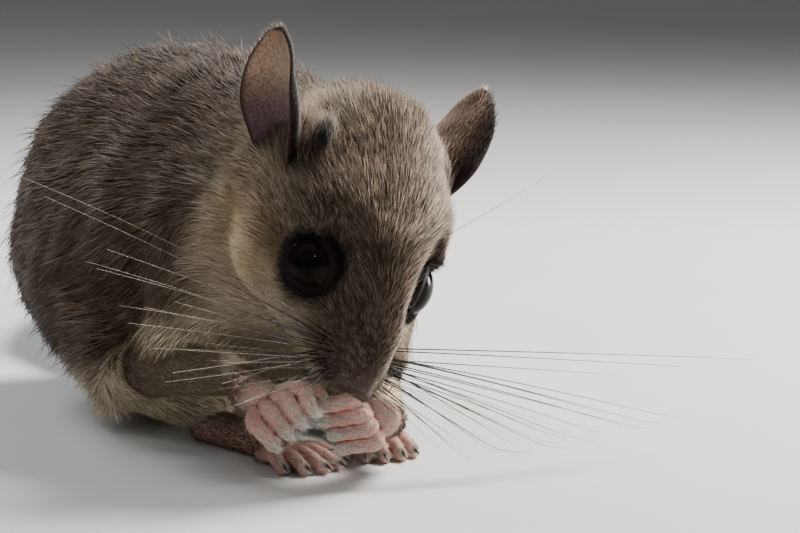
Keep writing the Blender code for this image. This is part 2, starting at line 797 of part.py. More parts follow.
def jaw_share():
    """The room of the lower jaw: its top is the line of the mouth back to its corner."""
    half, front, corner = 6.4 * MM, -18 * MM, -6.2 * MM
    outline = [(front, MOUTH_HEIGHT), (corner, MOUTH_HEIGHT), (6 * MM, -12.5 * MM), (6 * MM, -16 * MM),
               (front, -17 * MM)]
    shape = hull([(half * side, y, z) for side in (RIGHT, LEFT) for y, z in outline], "jaw share")
    shape.data.transform(HEAD_PLACE)
    return shape


def part_head(whole, nodes):
    """Nose, whisker pads, lower jaw, then the rest of the head and the neck."""
    shape = nose_form(0.35 * MM)
    shape.data.transform(HEAD_PLACE)
    nose = parted(whole, shape, "nose")
    for side in (RIGHT, LEFT):
        pit = nostril_form(side)
        pit.data.transform(HEAD_PLACE)
        cut(nose, pit)
        discard(pit)
    nodes["nose"] = nose
    for side in (RIGHT, LEFT):
        name = "whisker_pad" + TAG[side]
        pad = head_piece(whole, mm(5.0 * side, -11.6, -5.2), (4.4 * MM, 4.4 * MM, 3.5 * MM), name)
        nodes[name] = united(pad, whiskers(side), name)
    nodes["lower_jaw"] = parted(whole, jaw_share(), "lower_jaw")
    nodes["head"] = head_piece(whole, mm(0, -1, -1), (21 * MM, 19 * MM, 17 * MM), "head")
    nodes["neck"] = head_piece(whole, mm(0, 0, -1), (24 * MM, 26 * MM, 24 * MM), "neck")


def part_trunk(whole, nodes):
    """Thighs, upper arms, chest and rump. What is left is the abdomen."""
    for side in (RIGHT, LEFT):
        shape = haunch_form(side, 0.8 * MM, 12, 8)[0]
        nodes["thigh" + TAG[side]] = parted(whole, shape, "thigh" + TAG[side])
        shape = upper_arm_form(side, 0.6 * MM, 12, 8)[0]
        nodes["upper_arm" + TAG[side]] = parted(whole, shape, "upper_arm" + TAG[side])
    front = ellipsoid(mm(0, -40, 30), (60 * MM, 42 * MM, 60 * MM), "front", 16, 10)
    nodes["chest"] = parted(whole, front, "chest")
    back = ellipsoid(mm(0, 80, 26), (80 * MM, 42 * MM, 80 * MM), "back", 16, 10)
    nodes["rump"] = parted(whole, back, "rump")
    nodes["abdomen"] = whole


def add_limbs(whole, nodes):
    """Fore limbs and hind limbs, each set into the body by cutting its room out of the whole."""
    for side in (RIGHT, LEFT):
        tag = TAG[side]
        lower_arm, lower_leg = forearm(side), shin(side)
        fingers = hand("hand" + tag, WRIST[side], PALM[side], KNUCKLES[side], TIPS[side], HAND_BACK[side])
        sole = foot("foot" + tag, HEEL[side], TOES_MIDDLE[side], 0.26)
        nodes["forearm" + tag] = lower_arm
        nodes["hand" + tag] = cleared(fingers, [lower_arm])
        nodes["shin" + tag] = lower_leg
        nodes["foot" + tag] = cleared(sole, [lower_leg])
        cleared(whole, [lower_arm, lower_leg, fingers, sole])


def add_tail(nodes):
    for number in range(1, TAIL_PARTS + 1):
        nodes["tail_%d" % number] = tail_part(number)
    cleared(nodes["tail_1"], [nodes["rump"]])


def material_name(node):
    if node.startswith("tail"):
        return "tail_coat"
    if node.startswith(("hand", "foot")):
        return "bare_skin"
    if node.startswith("eye"):
        return "eye"
    if node.startswith("ear"):
        return "ear_skin"
    if node.startswith("nose"):
        return "nose_skin"
    if node.startswith(("forearm", "lower_jaw", "whisker")):
        return "pale_coat"
    return "grey_coat"


def finish(nodes):
    """Colours and smooth shading, and the middle of the bounding box over the origin."""
    for name in ("abdomen", "rump", "chest", "thigh_r", "thigh_l"):
        triangles = sum(len(face.vertices) - 2 for face in nodes[name].data.polygons)
        flat_below(thinned(nodes[name], TRUNK_THINNING * triangles))
    materials = {name: make_material(name) for name in COLOURS}
    corners = [v.co for obj in nodes.values() for v in obj.data.vertices]
    middle = [(max(c[i] for c in corners) + min(c[i] for c in corners)) / 2 for i in range(2)]
    for name, obj in nodes.items():
        obj.name = name
        obj.data.transform(Matrix.Translation((-middle[0], -middle[1], 0)))
        obj.data.materials.clear()
        obj.data.materials.append(materials[material_name(name)])
        obj.data.shade_smooth()
        obj.data.set_sharp_from_angle(angle=math.radians(50))


def main():
    clear_scene()
    nodes = {}
    whole = body_and_head()
    add_limbs(whole, nodes)
    for side in (RIGHT, LEFT):
        socket = eyeball(side, EYE_RADIUS + GAP, "socket")
        cut(whole, socket)
        discard(socket)
        nodes["eye" + TAG[side]] = eyeball(side, EYE_RADIUS, "eye" + TAG[side])
        nodes["ear" + TAG[side]] = cleared(ear(side, "ear" + TAG[side]), [whole])
    part_head(whole, nodes)
    part_trunk(whole, nodes)
    add_tail(nodes)
    finish(nodes)


main()
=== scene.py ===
import json
import math

import bmesh
import bpy
import numpy as np
from mathutils import Matrix, Vector
from mathutils.bvhtree import BVHTree
from mathutils.kdtree import KDTree

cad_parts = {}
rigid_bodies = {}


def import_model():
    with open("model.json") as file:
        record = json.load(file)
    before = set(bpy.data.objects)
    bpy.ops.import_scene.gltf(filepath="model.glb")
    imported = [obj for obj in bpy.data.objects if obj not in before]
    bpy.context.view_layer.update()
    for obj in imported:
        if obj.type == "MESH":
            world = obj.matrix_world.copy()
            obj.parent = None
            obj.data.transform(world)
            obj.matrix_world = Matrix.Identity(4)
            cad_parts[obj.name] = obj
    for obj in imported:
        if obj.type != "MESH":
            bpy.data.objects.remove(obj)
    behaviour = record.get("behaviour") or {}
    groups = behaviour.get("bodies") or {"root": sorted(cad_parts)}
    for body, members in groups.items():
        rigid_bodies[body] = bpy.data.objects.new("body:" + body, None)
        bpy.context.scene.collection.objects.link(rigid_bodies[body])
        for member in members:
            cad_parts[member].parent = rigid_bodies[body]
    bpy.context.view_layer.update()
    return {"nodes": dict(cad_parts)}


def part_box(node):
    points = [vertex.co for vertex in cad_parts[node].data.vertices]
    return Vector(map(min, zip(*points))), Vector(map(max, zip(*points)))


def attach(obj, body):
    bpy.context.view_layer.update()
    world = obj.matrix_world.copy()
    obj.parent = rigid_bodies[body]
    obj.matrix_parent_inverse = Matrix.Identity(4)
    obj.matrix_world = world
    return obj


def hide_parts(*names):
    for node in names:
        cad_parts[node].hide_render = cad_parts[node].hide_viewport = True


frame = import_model()
mm = 0.001
right, left = -1, 1
bothSides = (right, left)
tag = {right: "_r", left: "_l"}

# Where the head is: its middle comes from both eyes, its turns are the pose's own.
headPose = {"turns": (("Z", -12), ("X", 51), ("Y", 27)), "eyePlace": (0, -0.3, 0.2), "modelMiddle": (0, -35, 29.3)}


def boxMiddle(node):
    low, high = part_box(node)
    return (low + high) / 2


headAxes = Matrix.Identity(3)
for axis, degrees in headPose["turns"]:
    headAxes = headAxes @ Matrix.Rotation(math.radians(degrees), 3, axis)
eyesMiddle = (boxMiddle("eye_r") + boxMiddle("eye_l")) / 2
headMiddle = eyesMiddle - headAxes @ Vector(headPose["eyePlace"]) * mm
modelShift = headMiddle - Vector(headPose["modelMiddle"]) * mm
modelShift.z = 0
headPlace = Matrix.Translation(headMiddle) @ headAxes.to_4x4()
axesTable = np.array(headAxes)


def model(x, y, z):
    return Vector((x, y, z)) * mm + modelShift


def head(x, y, z):
    return headPlace @ (Vector((x, y, z)) * mm)


def toModel(points):
    return (points - np.array(modelShift)) / mm


def toHead(points):
    return (points - np.array(headMiddle)) @ axesTable / mm


def fromHead(local):
    return local @ axesTable.T * mm + np.array(headMiddle)


def headWay(x, y, z):
    return np.array(headAxes @ Vector((x, y, z)))


# Camera at the photo's angle
view = {"azimuth": -24, "elevation": 8, "distance": 428.57, "aimRight": 5.571, "aimUp": 1.071, "lens": 135,
        "sensor": 36, "near": 0.01, "far": 20}


def addCamera():
    azimuth, elevation = math.radians(view["azimuth"]), math.radians(view["elevation"])
    toCamera = Vector((math.sin(azimuth) * math.cos(elevation), -math.cos(azimuth) * math.cos(elevation),
                       math.sin(elevation)))
    toRight = Vector((math.cos(azimuth), math.sin(azimuth), 0))
    upward = toCamera.cross(toRight)
    aim = headMiddle + (toRight * view["aimRight"] + upward * view["aimUp"]) * mm
    data = bpy.data.cameras.new("camera")
    data.lens, data.sensor_width = view["lens"], view["sensor"]
    data.clip_start, data.clip_end = view["near"], view["far"]
    camera = bpy.data.objects.new("camera", data)
    turn = Matrix((toRight, upward, toCamera)).transposed().to_4x4()
    camera.matrix_world = Matrix.Translation(aim + toCamera * view["distance"] * mm) @ turn
    bpy.context.scene.collection.objects.link(camera)
    bpy.context.scene.camera = camera
    return toCamera, toRight, upward


toCamera, toRight, upward = addCamera()


# Materials
black, white = (0, 0, 0, 1), (1, 1, 1, 1)


def rgb(red, green, blue):
    # a screen colour, 0 to 255, as the linear one that shaders take
    return tuple(((c / 255 + 0.055) / 1.055) ** 2.4 if c > 10 else c / 255 / 12.92 for c in (red, green, blue)) + (1,)


def linear(colour):
    return rgb(*colour) if isinstance(colour, tuple) and len(colour) == 3 else colour


class Shade:
    # one output socket of a node; sums and products on it add Math nodes
    def __init__(self, finish, socket):
        self.finish = finish
        self.socket = socket

    def combined(self, operation, other):
        return self.finish.node("ShaderNodeMath", {"operation": operation}, {0: self, 1: other})

    def __add__(self, other):
        return self.combined("ADD", other)

    def __sub__(self, other):
        return self.combined("SUBTRACT", other)

    def __mul__(self, other):
        return self.combined("MULTIPLY", other)


class Finish:
    # a material; a colour of three numbers is a screen colour, one of four is linear
    def __init__(self, name, roughness, gloss, **fixed):
        self.material = bpy.data.materials.new(name)
        self.material.use_nodes = True
        self.nodes = self.material.node_tree.nodes
        self.links = self.material.node_tree.links
        self.surface = next(n for n in self.nodes if n.type == "BSDF_PRINCIPLED")
        fixed.update(Roughness=roughness, Specular_IOR_Level=gloss)
        for socket, value in fixed.items():
            self.surface.inputs[socket.replace("_", " ")].default_value = value

    def node(self, kind, settings=None, sockets=None, output=0):
        made = self.nodes.new(kind)
        for key, value in (settings or {}).items():
            setattr(made, key, value)
        for key, value in (sockets or {}).items():
            if isinstance(value, Shade):
                self.links.new(value.socket, made.inputs[key])
            else:
                made.inputs[key].default_value = linear(value)
        return Shade(self, made.outputs[output])

    def mixed(self, factor, first, second, way="MIX"):
        settings = {"data_type": "RGBA", "blend_type": way}
        return self.node("ShaderNodeMix", settings, {0: factor, 6: first, 7: second}, 2)

    def multiplied(self, first, second):
        return self.mixed(1.0, first, second, "MULTIPLY")

    def place(self):
        return self.node("ShaderNodeTexCoord", output=3)

    def noise(self, scale, detail, place=None):
        sockets = {"Vector": place or self.place(), "Scale": scale, "Detail": detail}
        return self.node("ShaderNodeTexNoise", None, sockets)

    def ramp(self, factor, *stops):
        made = self.node("ShaderNodeValToRGB", None, {0: factor})
        elements = made.socket.node.color_ramp.elements
        while len(elements) < len(stops):
            elements.new(0.5)
        for element, (place, colour) in zip(elements, stops):
            element.position = place
            element.color = linear(colour)
        return made

    def mask(self, factor, low, high):
        return self.ramp(factor, (low, black), (high, white))

    def attribute(self, name, output=2):
        return self.node("ShaderNodeAttribute", {"attribute_name": name}, None, output)

    def done(self, colour, rough, height=None, strength=0.0, distance=0.0):
        # feeds the finish; rough is a pattern, how much of it counts and the least roughness
        pattern, spread, least = rough
        self.links.new(colour.socket, self.surface.inputs["Base Color"])
        self.links.new((pattern * spread + least).socket, self.surface.inputs["Roughness"])
        if strength:
            sockets = {"Strength": strength, "Distance": distance, "Height": height}
            bump = self.node("ShaderNodeBump", None, sockets)
            self.links.new(bump.socket, self.surface.inputs["Normal"])
        return self.material


palette = {
    "back": (90, 73, 61), "spine": (72, 58, 49), "palePart": (218, 202, 176), "cheek": (200, 168, 122),
    "eyeRing": (17, 12, 10), "muzzle": (70, 53, 49), "muzzleSide": (140, 124, 108), "lip": (150, 124, 84),
    "earTuft": (204, 186, 158), "earBack": (92, 66, 48), "earFringe": (240, 234, 226), "paleTip": (216, 196, 168),
    "tail": (106, 94, 84), "tailEdge": (196, 190, 180), "handHair": (240, 230, 218), "arm": (140, 122, 102),
}


def paint(name):
    return np.array(rgb(*palette[name])[:3])


def finishFur(name, roughness, gloss, grain, shadow, spread, least, strength=0.0):
    # the colour of the markings, darker in a fine grain
    finish = Finish(name, roughness, gloss)
    colour = finish.attribute("coatColour", 0)
    fine = finish.noise(*grain)
    mixed = finish.mixed(fine, finish.multiplied(colour, shadow), colour)
    return finish.done(mixed, (fine, spread, least), fine, strength, 0.0002)


def finishAlong(name, roughness, gloss, grain, stops, spread, strength=0.0):
    # horn and whiskers, coloured from root to tip
    finish = Finish(name, roughness, gloss)
    streak = finish.noise(*grain)
    colour = finish.ramp(finish.attribute("along") + streak * 0.2, *stops)
    return finish.done(colour, (streak, spread, 0.2), streak, strength, 0.00005)


def finishBareSkin(name, pale, deep, crease, grainScale, roughness, gloss):
    # pale on the ridges and flushed in blotches; the hollows between fingers and folds take the crease colour as
    # painted shade
    finish = Finish(name, roughness, gloss, Subsurface_Weight=0.12, Subsurface_Scale=0.002,
                    Subsurface_Radius=(1.0, 0.35, 0.25))
    blotch = finish.noise(330, 4.0)
    hollow = finish.mask(finish.attribute("hollow"), 0.25, 0.75)
    grain = finish.node("ShaderNodeTexVoronoi", {"feature": "DISTANCE_TO_EDGE"},
                        {"Vector": finish.place(), "Scale": grainScale})
    flush = finish.ramp(blotch, (0.35, deep), (0.68, pale))
    pits = finish.ramp(grain, (0.0, (0.62, 0.58, 0.57, 1)), (0.12, white))
    colour = finish.mixed(hollow, finish.multiplied(flush, pits), crease)
    height = grain + finish.noise(2600, 2.0) * 0.4
    return finish.done(colour, (blotch, 0.3, roughness - 0.12), height, 0.35, 0.00012)


def finishEye():
    finish = Finish("eyeball", 0.05, 0.09, IOR=1.34)
    fibres = finish.noise(900, 5.0)
    iris = finish.mixed(fibres, (12, 8, 7), (25, 16, 12))
    pupil = finish.mask(finish.attribute("outward"), 0.86, 0.93)
    return finish.done(finish.mixed(pupil, iris, (4, 3, 3)), (fibres, 0.03, 0.03))


def finishEar():
    # dark low in the cup and pale above, with veins and speckles; brown outside, with a dark rim
    finish = Finish("earSkin", 0.55, 0.15, Subsurface_Weight=0.18, Subsurface_Scale=0.0015,
                    Subsurface_Radius=(1.0, 0.4, 0.25))
    dark = (34, 22, 18)
    place = finish.place()
    blotch = finish.noise(300, 4.0, place)
    speckle = finish.noise(2300, 3.0, place)
    veins = finish.node("ShaderNodeTexNoise", None, {"Vector": place, "Scale": 420, "Detail": 1.0, "Distortion": 2.2})
    length = finish.ramp(finish.attribute("along") + blotch * 0.20 - 0.10, (0.04, (40, 28, 36)), (0.20, (76, 58, 64)),
                         (0.38, (90, 72, 74)), (0.50, (108, 90, 78)), (0.66, (150, 130, 108)), (0.95, (132, 110, 90)))
    vein = finish.ramp(veins, (0.48, white), (0.505, (0.78, 0.70, 0.70, 1)), (0.53, white))
    dots = finish.ramp(speckle, (0.36, (0.60, 0.56, 0.54, 1)), (0.60, white))
    inner = finish.multiplied(finish.multiplied(length, vein), dots)
    behind = finish.mixed(blotch, (52, 36, 27), palette["earBack"])
    behind = finish.mixed(finish.mask(finish.attribute("front"), 0.4, 0.8), behind, dark)
    rim = finish.mask(finish.attribute("edge"), 0.84, 0.93)
    skin = finish.mixed(rim, finish.mixed(finish.attribute("outside"), inner, behind), dark)
    height = finish.noise(1800, 4.0, place) + veins * 0.6
    return finish.done(skin, (blotch, 0.25, 0.42), height, 0.4, 0.00012)


def finishFloor():
    finish = Finish("paleFloor", 0.6, 0.5)
    cloud = finish.noise(6, 2.0)
    return finish.done(finish.ramp(cloud, (0.3, (196, 198, 200)), (0.7, (203, 205, 206))), (cloud, 0.1, 0.55))


coatHair = finishFur("coatHair", 0.55, 0.18, (900, 2.0), (0.80, 0.79, 0.78, 1), 0.25, 0.42)
furredSkin = finishFur("furredSkin", 0.75, 0.25, (1400, 4.0), (0.42, 0.38, 0.35, 1), 0.2, 0.65, 0.5)
# the last colour of each bare skin is painted shade for its hollows
handSkin = finishBareSkin("handSkin", (194, 156, 144), (184, 134, 122), (110, 24, 22), 1500, 0.5, 0.35)
noseSkin = finishBareSkin("noseSkin", (82, 61, 53), (66, 48, 42), (30, 20, 18), 2600, 0.55, 0.25)
lidSkin = finishBareSkin("lidSkin", (22, 16, 14), (14, 10, 9), (8, 6, 6), 1800, 0.6, 0.1)
eyeballFinish = finishEye()
clawHorn = finishAlong("clawHorn", 0.32, 0.55, (1500, 3.0), (
    (0.1, (150, 118, 96)), (0.55, (84, 60, 46)), (1.0, (42, 30, 24))), 0.25, 0.25)
# whiskers pale towards the tip, partly their own colour and partly painted backlight
whiskerHair = finishAlong("whiskerHair", 0.28, 0.25, (120, 2.0), (
    (0.32, (26, 19, 16)), (0.60, (54, 43, 36)), (0.82, (82, 71, 61)), (1.0, (132, 120, 106))), 0.15)
earSkin = finishEar()


# General shapes
def newObject(name, mesh, material):
    obj = bpy.data.objects.new(name, mesh)
    bpy.context.scene.collection.objects.link(obj)
    mesh.materials.clear()
    mesh.materials.append(material)
    return obj


def meshOf(bm, name):
    mesh = bpy.data.meshes.new(name)
    bm.to_mesh(mesh)
    bm.free()
    mesh.shade_smooth()
    return mesh


def bmeshOf(mesh):
    bm = bmesh.new()
    bm.from_mesh(mesh)
    return bm


def settled(piece, slot, *nodes):
    # the whole part is one body; the piece stands for the nodes that are named
    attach(piece, "root")
    if nodes:
        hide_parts(*nodes)


def evaluated(obj):
    # works the object's modifiers into its mesh
    bpy.context.view_layer.update()
    mesh = bpy.data.meshes.new_from_object(obj.evaluated_get(bpy.context.evaluated_depsgraph_get()))
    old = obj.data
    obj.modifiers.clear()
    obj.data = mesh
    bpy.data.meshes.remove(old)


def fused(bm, name, material, voxel, rounds):
    # closed pieces that overlap become one smooth surface
    obj = newObject(name, meshOf(bm, name), material)
    remesh = obj.modifiers.new("fuse", "REMESH")
    remesh.mode = "VOXEL"
    remesh.voxel_size = voxel
    relax = obj.modifiers.new("relax", "SMOOTH")
    relax.iterations = rounds
    evaluated(obj)
    obj.data.materials.clear()
    obj.data.materials.append(material)
    obj.data.shade_smooth()
    return obj


def addEllipsoid(bm, middle, radii, around=20, up=12):
    place = Matrix.Translation(middle) @ Matrix.Diagonal((*radii, 1))
    bmesh.ops.create_uvsphere(bm, u_segments=around, v_segments=up, radius=1, matrix=place)


def bridged(bm, rings):
    # four-sided faces between each closed ring of corners and the next
    faces = []
    for here, there in zip(rings, rings[1:]):
        for k in range(len(here)):
            n = (k + 1) % len(here)
            faces.append(bm.faces.new((here[k], here[n], there[n], there[k])))
    return faces


def addTube(bm, path, radii, sides=12, flat=1.0, across=Vector((0.31, 0.21, 0.93))):
    # a closed round tube along a path, with pointed domes at its ends
    rings = []
    last = len(path) - 1
    for i, (point, radius) in enumerate(zip(path, radii)):
        ahead = (path[min(i + 1, last)] - path[max(i - 1, 0)]).normalized()
        side = ahead.cross(across).normalized()
        over = side.cross(ahead)
        turns = [math.tau * k / sides for k in range(sides)]
        rings.append([bm.verts.new(point + (side * math.cos(a) + over * math.sin(a) * flat) * radius) for a in turns])
    bridged(bm, rings)
    for ring, point, inner, radius, order in ((rings[0], path[0], path[1], radii[0], -1),
                                              (rings[-1], path[-1], path[-2], radii[-1], 1)):
        cap = bm.verts.new(point + (point - inner).normalized() * radius * 0.8)
        for k in range(sides):
            pair = (ring[k], ring[(k + 1) % sides])[::order]
            bm.faces.new((*pair, cap))


def curvePoints(points, steps):
    # a smooth path through a few points
    padded = [points[0] * 2 - points[1]] + list(points) + [points[-1] * 2 - points[-2]]
    path = []
    for i in range(len(points) - 1):
        a, b, c, d = padded[i:i + 4]
        for k in range(steps):
            t = k / steps
            path.append(0.5 * (2 * b + (c - a) * t + (2 * a - 5 * b + 4 * c - d) * t * t
                               + (3 * b - a - 3 * c + d) * t ** 3))
    path.append(points[-1].copy())
    return path


def smoothStep(value, low, high):
    t = np.clip((value - low) / (high - low), 0, 1)
    return t * t * (3 - 2 * t)


def fades(value, low, high):
    return 1 - smoothStep(value, low, high)


def bell(value, size):
    return np.exp(-(value / size) ** 2)


def ripple(points, size, seed):
    # slow noise made of a few waves, about -1 to 1
    draw = np.random.default_rng(seed)
    total = np.zeros(len(points))
    for _ in range(6):
        way = draw.normal(size=3)
        way *= math.tau / size * draw.uniform(0.6, 1.5) / np.linalg.norm(way)
        total += np.sin(points @ way + draw.uniform(0, math.tau))
    return total / 2.4


def lengths(vectors):
    return np.linalg.norm(vectors, axis=-1)


def unit(vectors):
    return vectors / np.maximum(lengths(vectors)[..., None], 1e-12)


def toward(base, goal, share):
    return base + (goal - base) * share[..., None]


def tableOf(items, field, width, kind=float):
    values = np.empty(len(items) * width, kind)
    items.foreach_get(field, values)
    return values.reshape(-1, width)


def meshPoints(mesh):
    return tableOf(mesh.vertices, "co", 3)


def pointNormals(mesh):
    return tableOf(mesh.vertex_normals, "vector", 3)


def setPoints(mesh, points):
    mesh.vertices.foreach_set("co", np.ascontiguousarray(points, np.float32).ravel())
    mesh.update()


def aboveFloor(mesh, least):
    points = meshPoints(mesh)
    points[:, 2] = np.maximum(points[:, 2], least * mm)
    setPoints(mesh, points)


def setNumber(mesh, name, values):
    layer = mesh.attributes.get(name) or mesh.attributes.new(name, "FLOAT", "POINT")
    layer.data.foreach_set("value", np.ascontiguousarray(values, np.float32))


def setColour(mesh, colours):
    layer = mesh.color_attributes.new(name="coatColour", type="FLOAT_COLOR", domain="POINT")
    full = np.ones((len(colours), 4), np.float32)
    full[:, :3] = colours
    layer.data.foreach_set("color", full.ravel())


# Regions of the body, all in millimetres of the model or of the head
bodyPlan = {
    "headHub": (0, 2, -3), "headReach": (17, 22, 15), "eyeWide": 4.1, "eyeDeep": 3.35, "eyeMiddle": (8.6, -0.3, 0.2),
    "eyeAim": (0.74, -0.42, 0.50), "noseMiddle": (0, -16.9, -4.1), "earRoot": (13.6, 18.0, 1.7),
    "shoulder": {right: (-14.5, -12, 28), left: (13, -11, 26)},
    "elbow": {right: (-22.5, -8.5, 13.2), left: (12.5, -12, 11.5)},
    "wrist": {right: (-17.4, -31.5, 14.8), left: (5.6, -33, 7.4)},
    "knee": {right: (-19.5, 4, 9), left: (15.5, 4, 9)},
    "heel": {right: (-12, -4.5, 5), left: (11.5, -2.5, 5)},
    "mouthLine": ((0, -14.9, -7.9), (3.4, -13.8, -8.1), (4.9, -10.2, -8.15), (4.6, -6.4, -8.2)),
}

# Each limb's ends, and how far from its line its own coat reaches and has ended
limbPlan = {"upperArm": ("shoulder", "elbow", 7.5, 11), "forearm": ("elbow", "wrist", 4.4, 6.5),
            "shin": ("knee", "heel", 5.0, 7.5)}


def onSide(vector, side):
    return np.array(vector, float) * (side, 1, 1)


def segmentDistance(points, start, end):
    start, end = np.array(start, float), np.array(end, float)
    along = np.clip((points - start) @ (end - start) / ((end - start) @ (end - start)), 0, 1)
    return lengths(points - start - along[:, None] * (end - start))


def limbDistance(plain, limb, side):
    start, end = (bodyPlan[joint][side] for joint in limbPlan[limb][:2])
    return segmentDistance(plain, start, end)


def eyeAround(local, side):
    # how far a point is out from the eye's axis, how high along it, and its way out
    aim = unit(onSide(bodyPlan["eyeAim"], side))
    away = local - onSide(bodyPlan["eyeMiddle"], side)
    height = away @ aim
    outward = away - height[:, None] * aim
    return lengths(outward), height, unit(outward)


def mouthDistance(local):
    line = bodyPlan["mouthLine"]
    return np.min([segmentDistance(local, onSide(start, side), onSide(end, side))
                   for side in bothSides for start, end in zip(line, line[1:])], axis=0)


def regionsOf(points):
    local, plain = toHead(points), toModel(points)
    hub = lengths((local - np.array(bodyPlan["headHub"])) / np.array(bodyPlan["headReach"]))
    found = {"local": local, "plain": plain, "hub": hub, "mouth": mouthDistance(local)}
    for name, near, far in (("head", 0.96, 1.32), ("nape", 1.0, 2.1), ("cheek", 1.10, 1.50), ("faceLie", 0.96, 1.65)):
        found[name] = fades(hub, near, far)
    found["trunk"] = 1 - found["head"]
    found["muzzle"] = found["head"] * fades(local[:, 1], -12.5, -3.5)
    lip = bell(local[:, 1] + 11.8, 2.8) * bell(local[:, 2] + 8.9, 1.6)
    found["lip"] = lip * smoothStep(np.abs(local[:, 0]), 1.4, 2.8) * found["head"]
    eyes = []
    for side in bothSides:
        out, height, _ = eyeAround(local, side)
        eyes.append(np.hypot(np.maximum(out - 3.75, 0), np.minimum(height, 0)))
    found["eyeNear"] = np.minimum(*eyes)
    for limb, (_, _, near, far) in limbPlan.items():
        distance = np.minimum(*(limbDistance(plain, limb, side) for side in bothSides))
        found[limb] = fades(distance, near, far) * found["trunk"]
    leftArm = np.minimum(limbDistance(plain, "upperArm", left), limbDistance(plain, "forearm", left))
    found["leftArm"] = fades(leftArm, 5, 9) * smoothStep(plain[:, 0], 2, 6) * found["trunk"]
    return found


def beforeEar(local, side, size):
    # the hair before an ear's root
    return bell(lengths(local - onSide(bodyPlan["earRoot"], side) - np.array((-1.6 * side, -2.4, 2.6))), size)


def earTuft(local, side, size):
    # the dark tuft on the crown before an ear, longer than it is wide
    away = local - np.array((11.5 * side, 13.2, 7.4))
    along = away @ unit(np.array((-0.22 * side, 0.66, 0.70)))
    return np.exp(-((away ** 2).sum(1) - 0.6 * along ** 2) / size ** 2)


# Each value of the coat on the body, the head, the muzzle, the forearms and the shins
coatPlan = {
    "length": (7.6, 2.9, 1.35, 2.6, 3.4), "depth": (2.3, 0.95, 0.35, 0.6, 0.9),
    "wide": (0.105, 0.072, 0.060, 0.085), "dense": (4.0, 20.0, 30.0, 16.0),
}


def blended(found, what):
    body, *others = coatPlan[what]
    result = np.full(len(found["hub"]), body)
    for value, region in zip(others, ("nape", "muzzle", "forearm", "shin")):
        result = result + (value - result) * found[region]
    return result


# The markings, in millimetres of the model or of the head; between a pair of places one comes in or goes
markPlan = {
    "spineX": -2, "spineWide": (5, 15), "spineHigh": (44, 56), "bellyHigh": (9, 15), "bellyBack": (42, 56),
    "chestAhead": (-14, -8), "chestHigh": (20, 27), "facingDown": (0.35, 0.75), "paleSoft": (2.6, 0.8),
    "tanMiddle": (8.0, -8.5), "tanReach": (11.0, 7.0), "tanSide": (5, 9), "snoutAhead": (-15, -8),
    "snoutHigh": (-7.2, -4.4), "flankMiddle": (-9.5, -4.4), "flankReach": (3.6, 2.2), "flankSide": (2.4, 4.6),
    "ring": (3.8, 6.0), "ringAhead": (0.6, 2.2), "earSpots": (((12.0, 22.6, 8.6), 4.0), ((9.2, 13.9, 9.3), 1.5)),
    "tuft": {right: 1.6, left: 0.5}, "tuftSize": 1.9, "wave": 0.8,
}


def marked(found, normals, points):
    # the animal's markings, as linear colour, for the skin and every hair that is rooted there
    plan = markPlan
    local, plain, onHead, trunk = (found[name] for name in ("local", "plain", "head", "trunk"))
    wave = ripple(points / mm, 9, 5) * plan["wave"]
    side, y, z = np.abs(local[:, 0]), local[:, 1], local[:, 2]

    def patch(middle, reach):
        return bell(y - plan[middle][0], plan[reach][0]) * bell(z - plan[middle][1], plan[reach][1])

    spine = fades(np.abs(plain[:, 0] - plan["spineX"]), *plan["spineWide"])
    spine = spine * smoothStep(plain[:, 2], *plan["spineHigh"])
    belly = fades(plain[:, 2] + wave, *plan["bellyHigh"]) * fades(plain[:, 1], *plan["bellyBack"])
    chest = fades(plain[:, 1] + wave, *plan["chestAhead"]) * fades(plain[:, 2] + wave, *plan["chestHigh"])
    facingDown = smoothStep(-normals[:, 2], *plan["facingDown"])
    paleBelow = -3.2 - 0.10 * y - 0.016 * np.maximum(y, 0) ** 2
    pale = fades(z + 0.6 * wave, paleBelow - plan["paleSoft"][0], paleBelow + plan["paleSoft"][1])
    tan = patch("tanMiddle", "tanReach") * smoothStep(side, *plan["tanSide"])
    snout = fades(y + 0.3 * wave, *plan["snoutAhead"]) * smoothStep(z + 0.3 * wave, *plan["snoutHigh"])
    flank = patch("flankMiddle", "flankReach") * smoothStep(side, *plan["flankSide"])
    # each one's colour, where it is, and how strong
    marks = [("spine", spine * trunk, 0.7), ("palePart", np.maximum(np.maximum(belly, chest), facingDown) * trunk, 1),
             ("arm", found["forearm"], 0.8), ("back", found["leftArm"], 0.8), ("palePart", pale * found["cheek"], 1),
             ("cheek", tan * found["cheek"], 0.85), ("muzzle", snout * onHead, 0.9),
             ("muzzleSide", flank * onHead, 0.8), ("lip", found["lip"], 1.3)]
    for each in (right, left):
        out, height, outward = eyeAround(local, each)
        forward = np.clip(-outward[:, 1], 0, 1)
        near, far = (least + ahead * forward for least, ahead in zip(plan["ring"], plan["ringAhead"]))
        ring = fades(out + 0.25 * wave, near, far) * (height > -4)
        marks.append(("eyeRing", ring * onHead, 0.97))
        for place, size in plan["earSpots"]:
            marks.append(("earTuft", bell(lengths(local - onSide(place, each)), size), 0.9))
        marks.append(("eyeRing", earTuft(local, each, plan["tuftSize"]), plan["tuft"][each]))
    result = np.tile(paint("back"), (len(points), 1))
    for name, mask, strength in marks:
        result = toward(result, paint(name), np.clip(mask * strength, 0, 1))
    return result


# The skin: one surface in place of every node of flesh
fleshNodes = ["head", "neck", "chest", "abdomen", "rump", "lower_jaw", "nose"] + [
    limb + tag[side] for limb in ("whisker_pad", "upper_arm", "forearm", "thigh", "shin") for side in bothSides]
skinPlan = {"grow": 0.24, "voxel": 0.62, "relax": 7, "padMiddle": (3.0, -12, -5.2), "padReach": 6.0, "nearEye": 0.35,
            "floorDepth": 0.4, "leftArmDepth": 1.3, "fineBefore": -5, "neckRise": 1.6, "neckFull": 0.9}


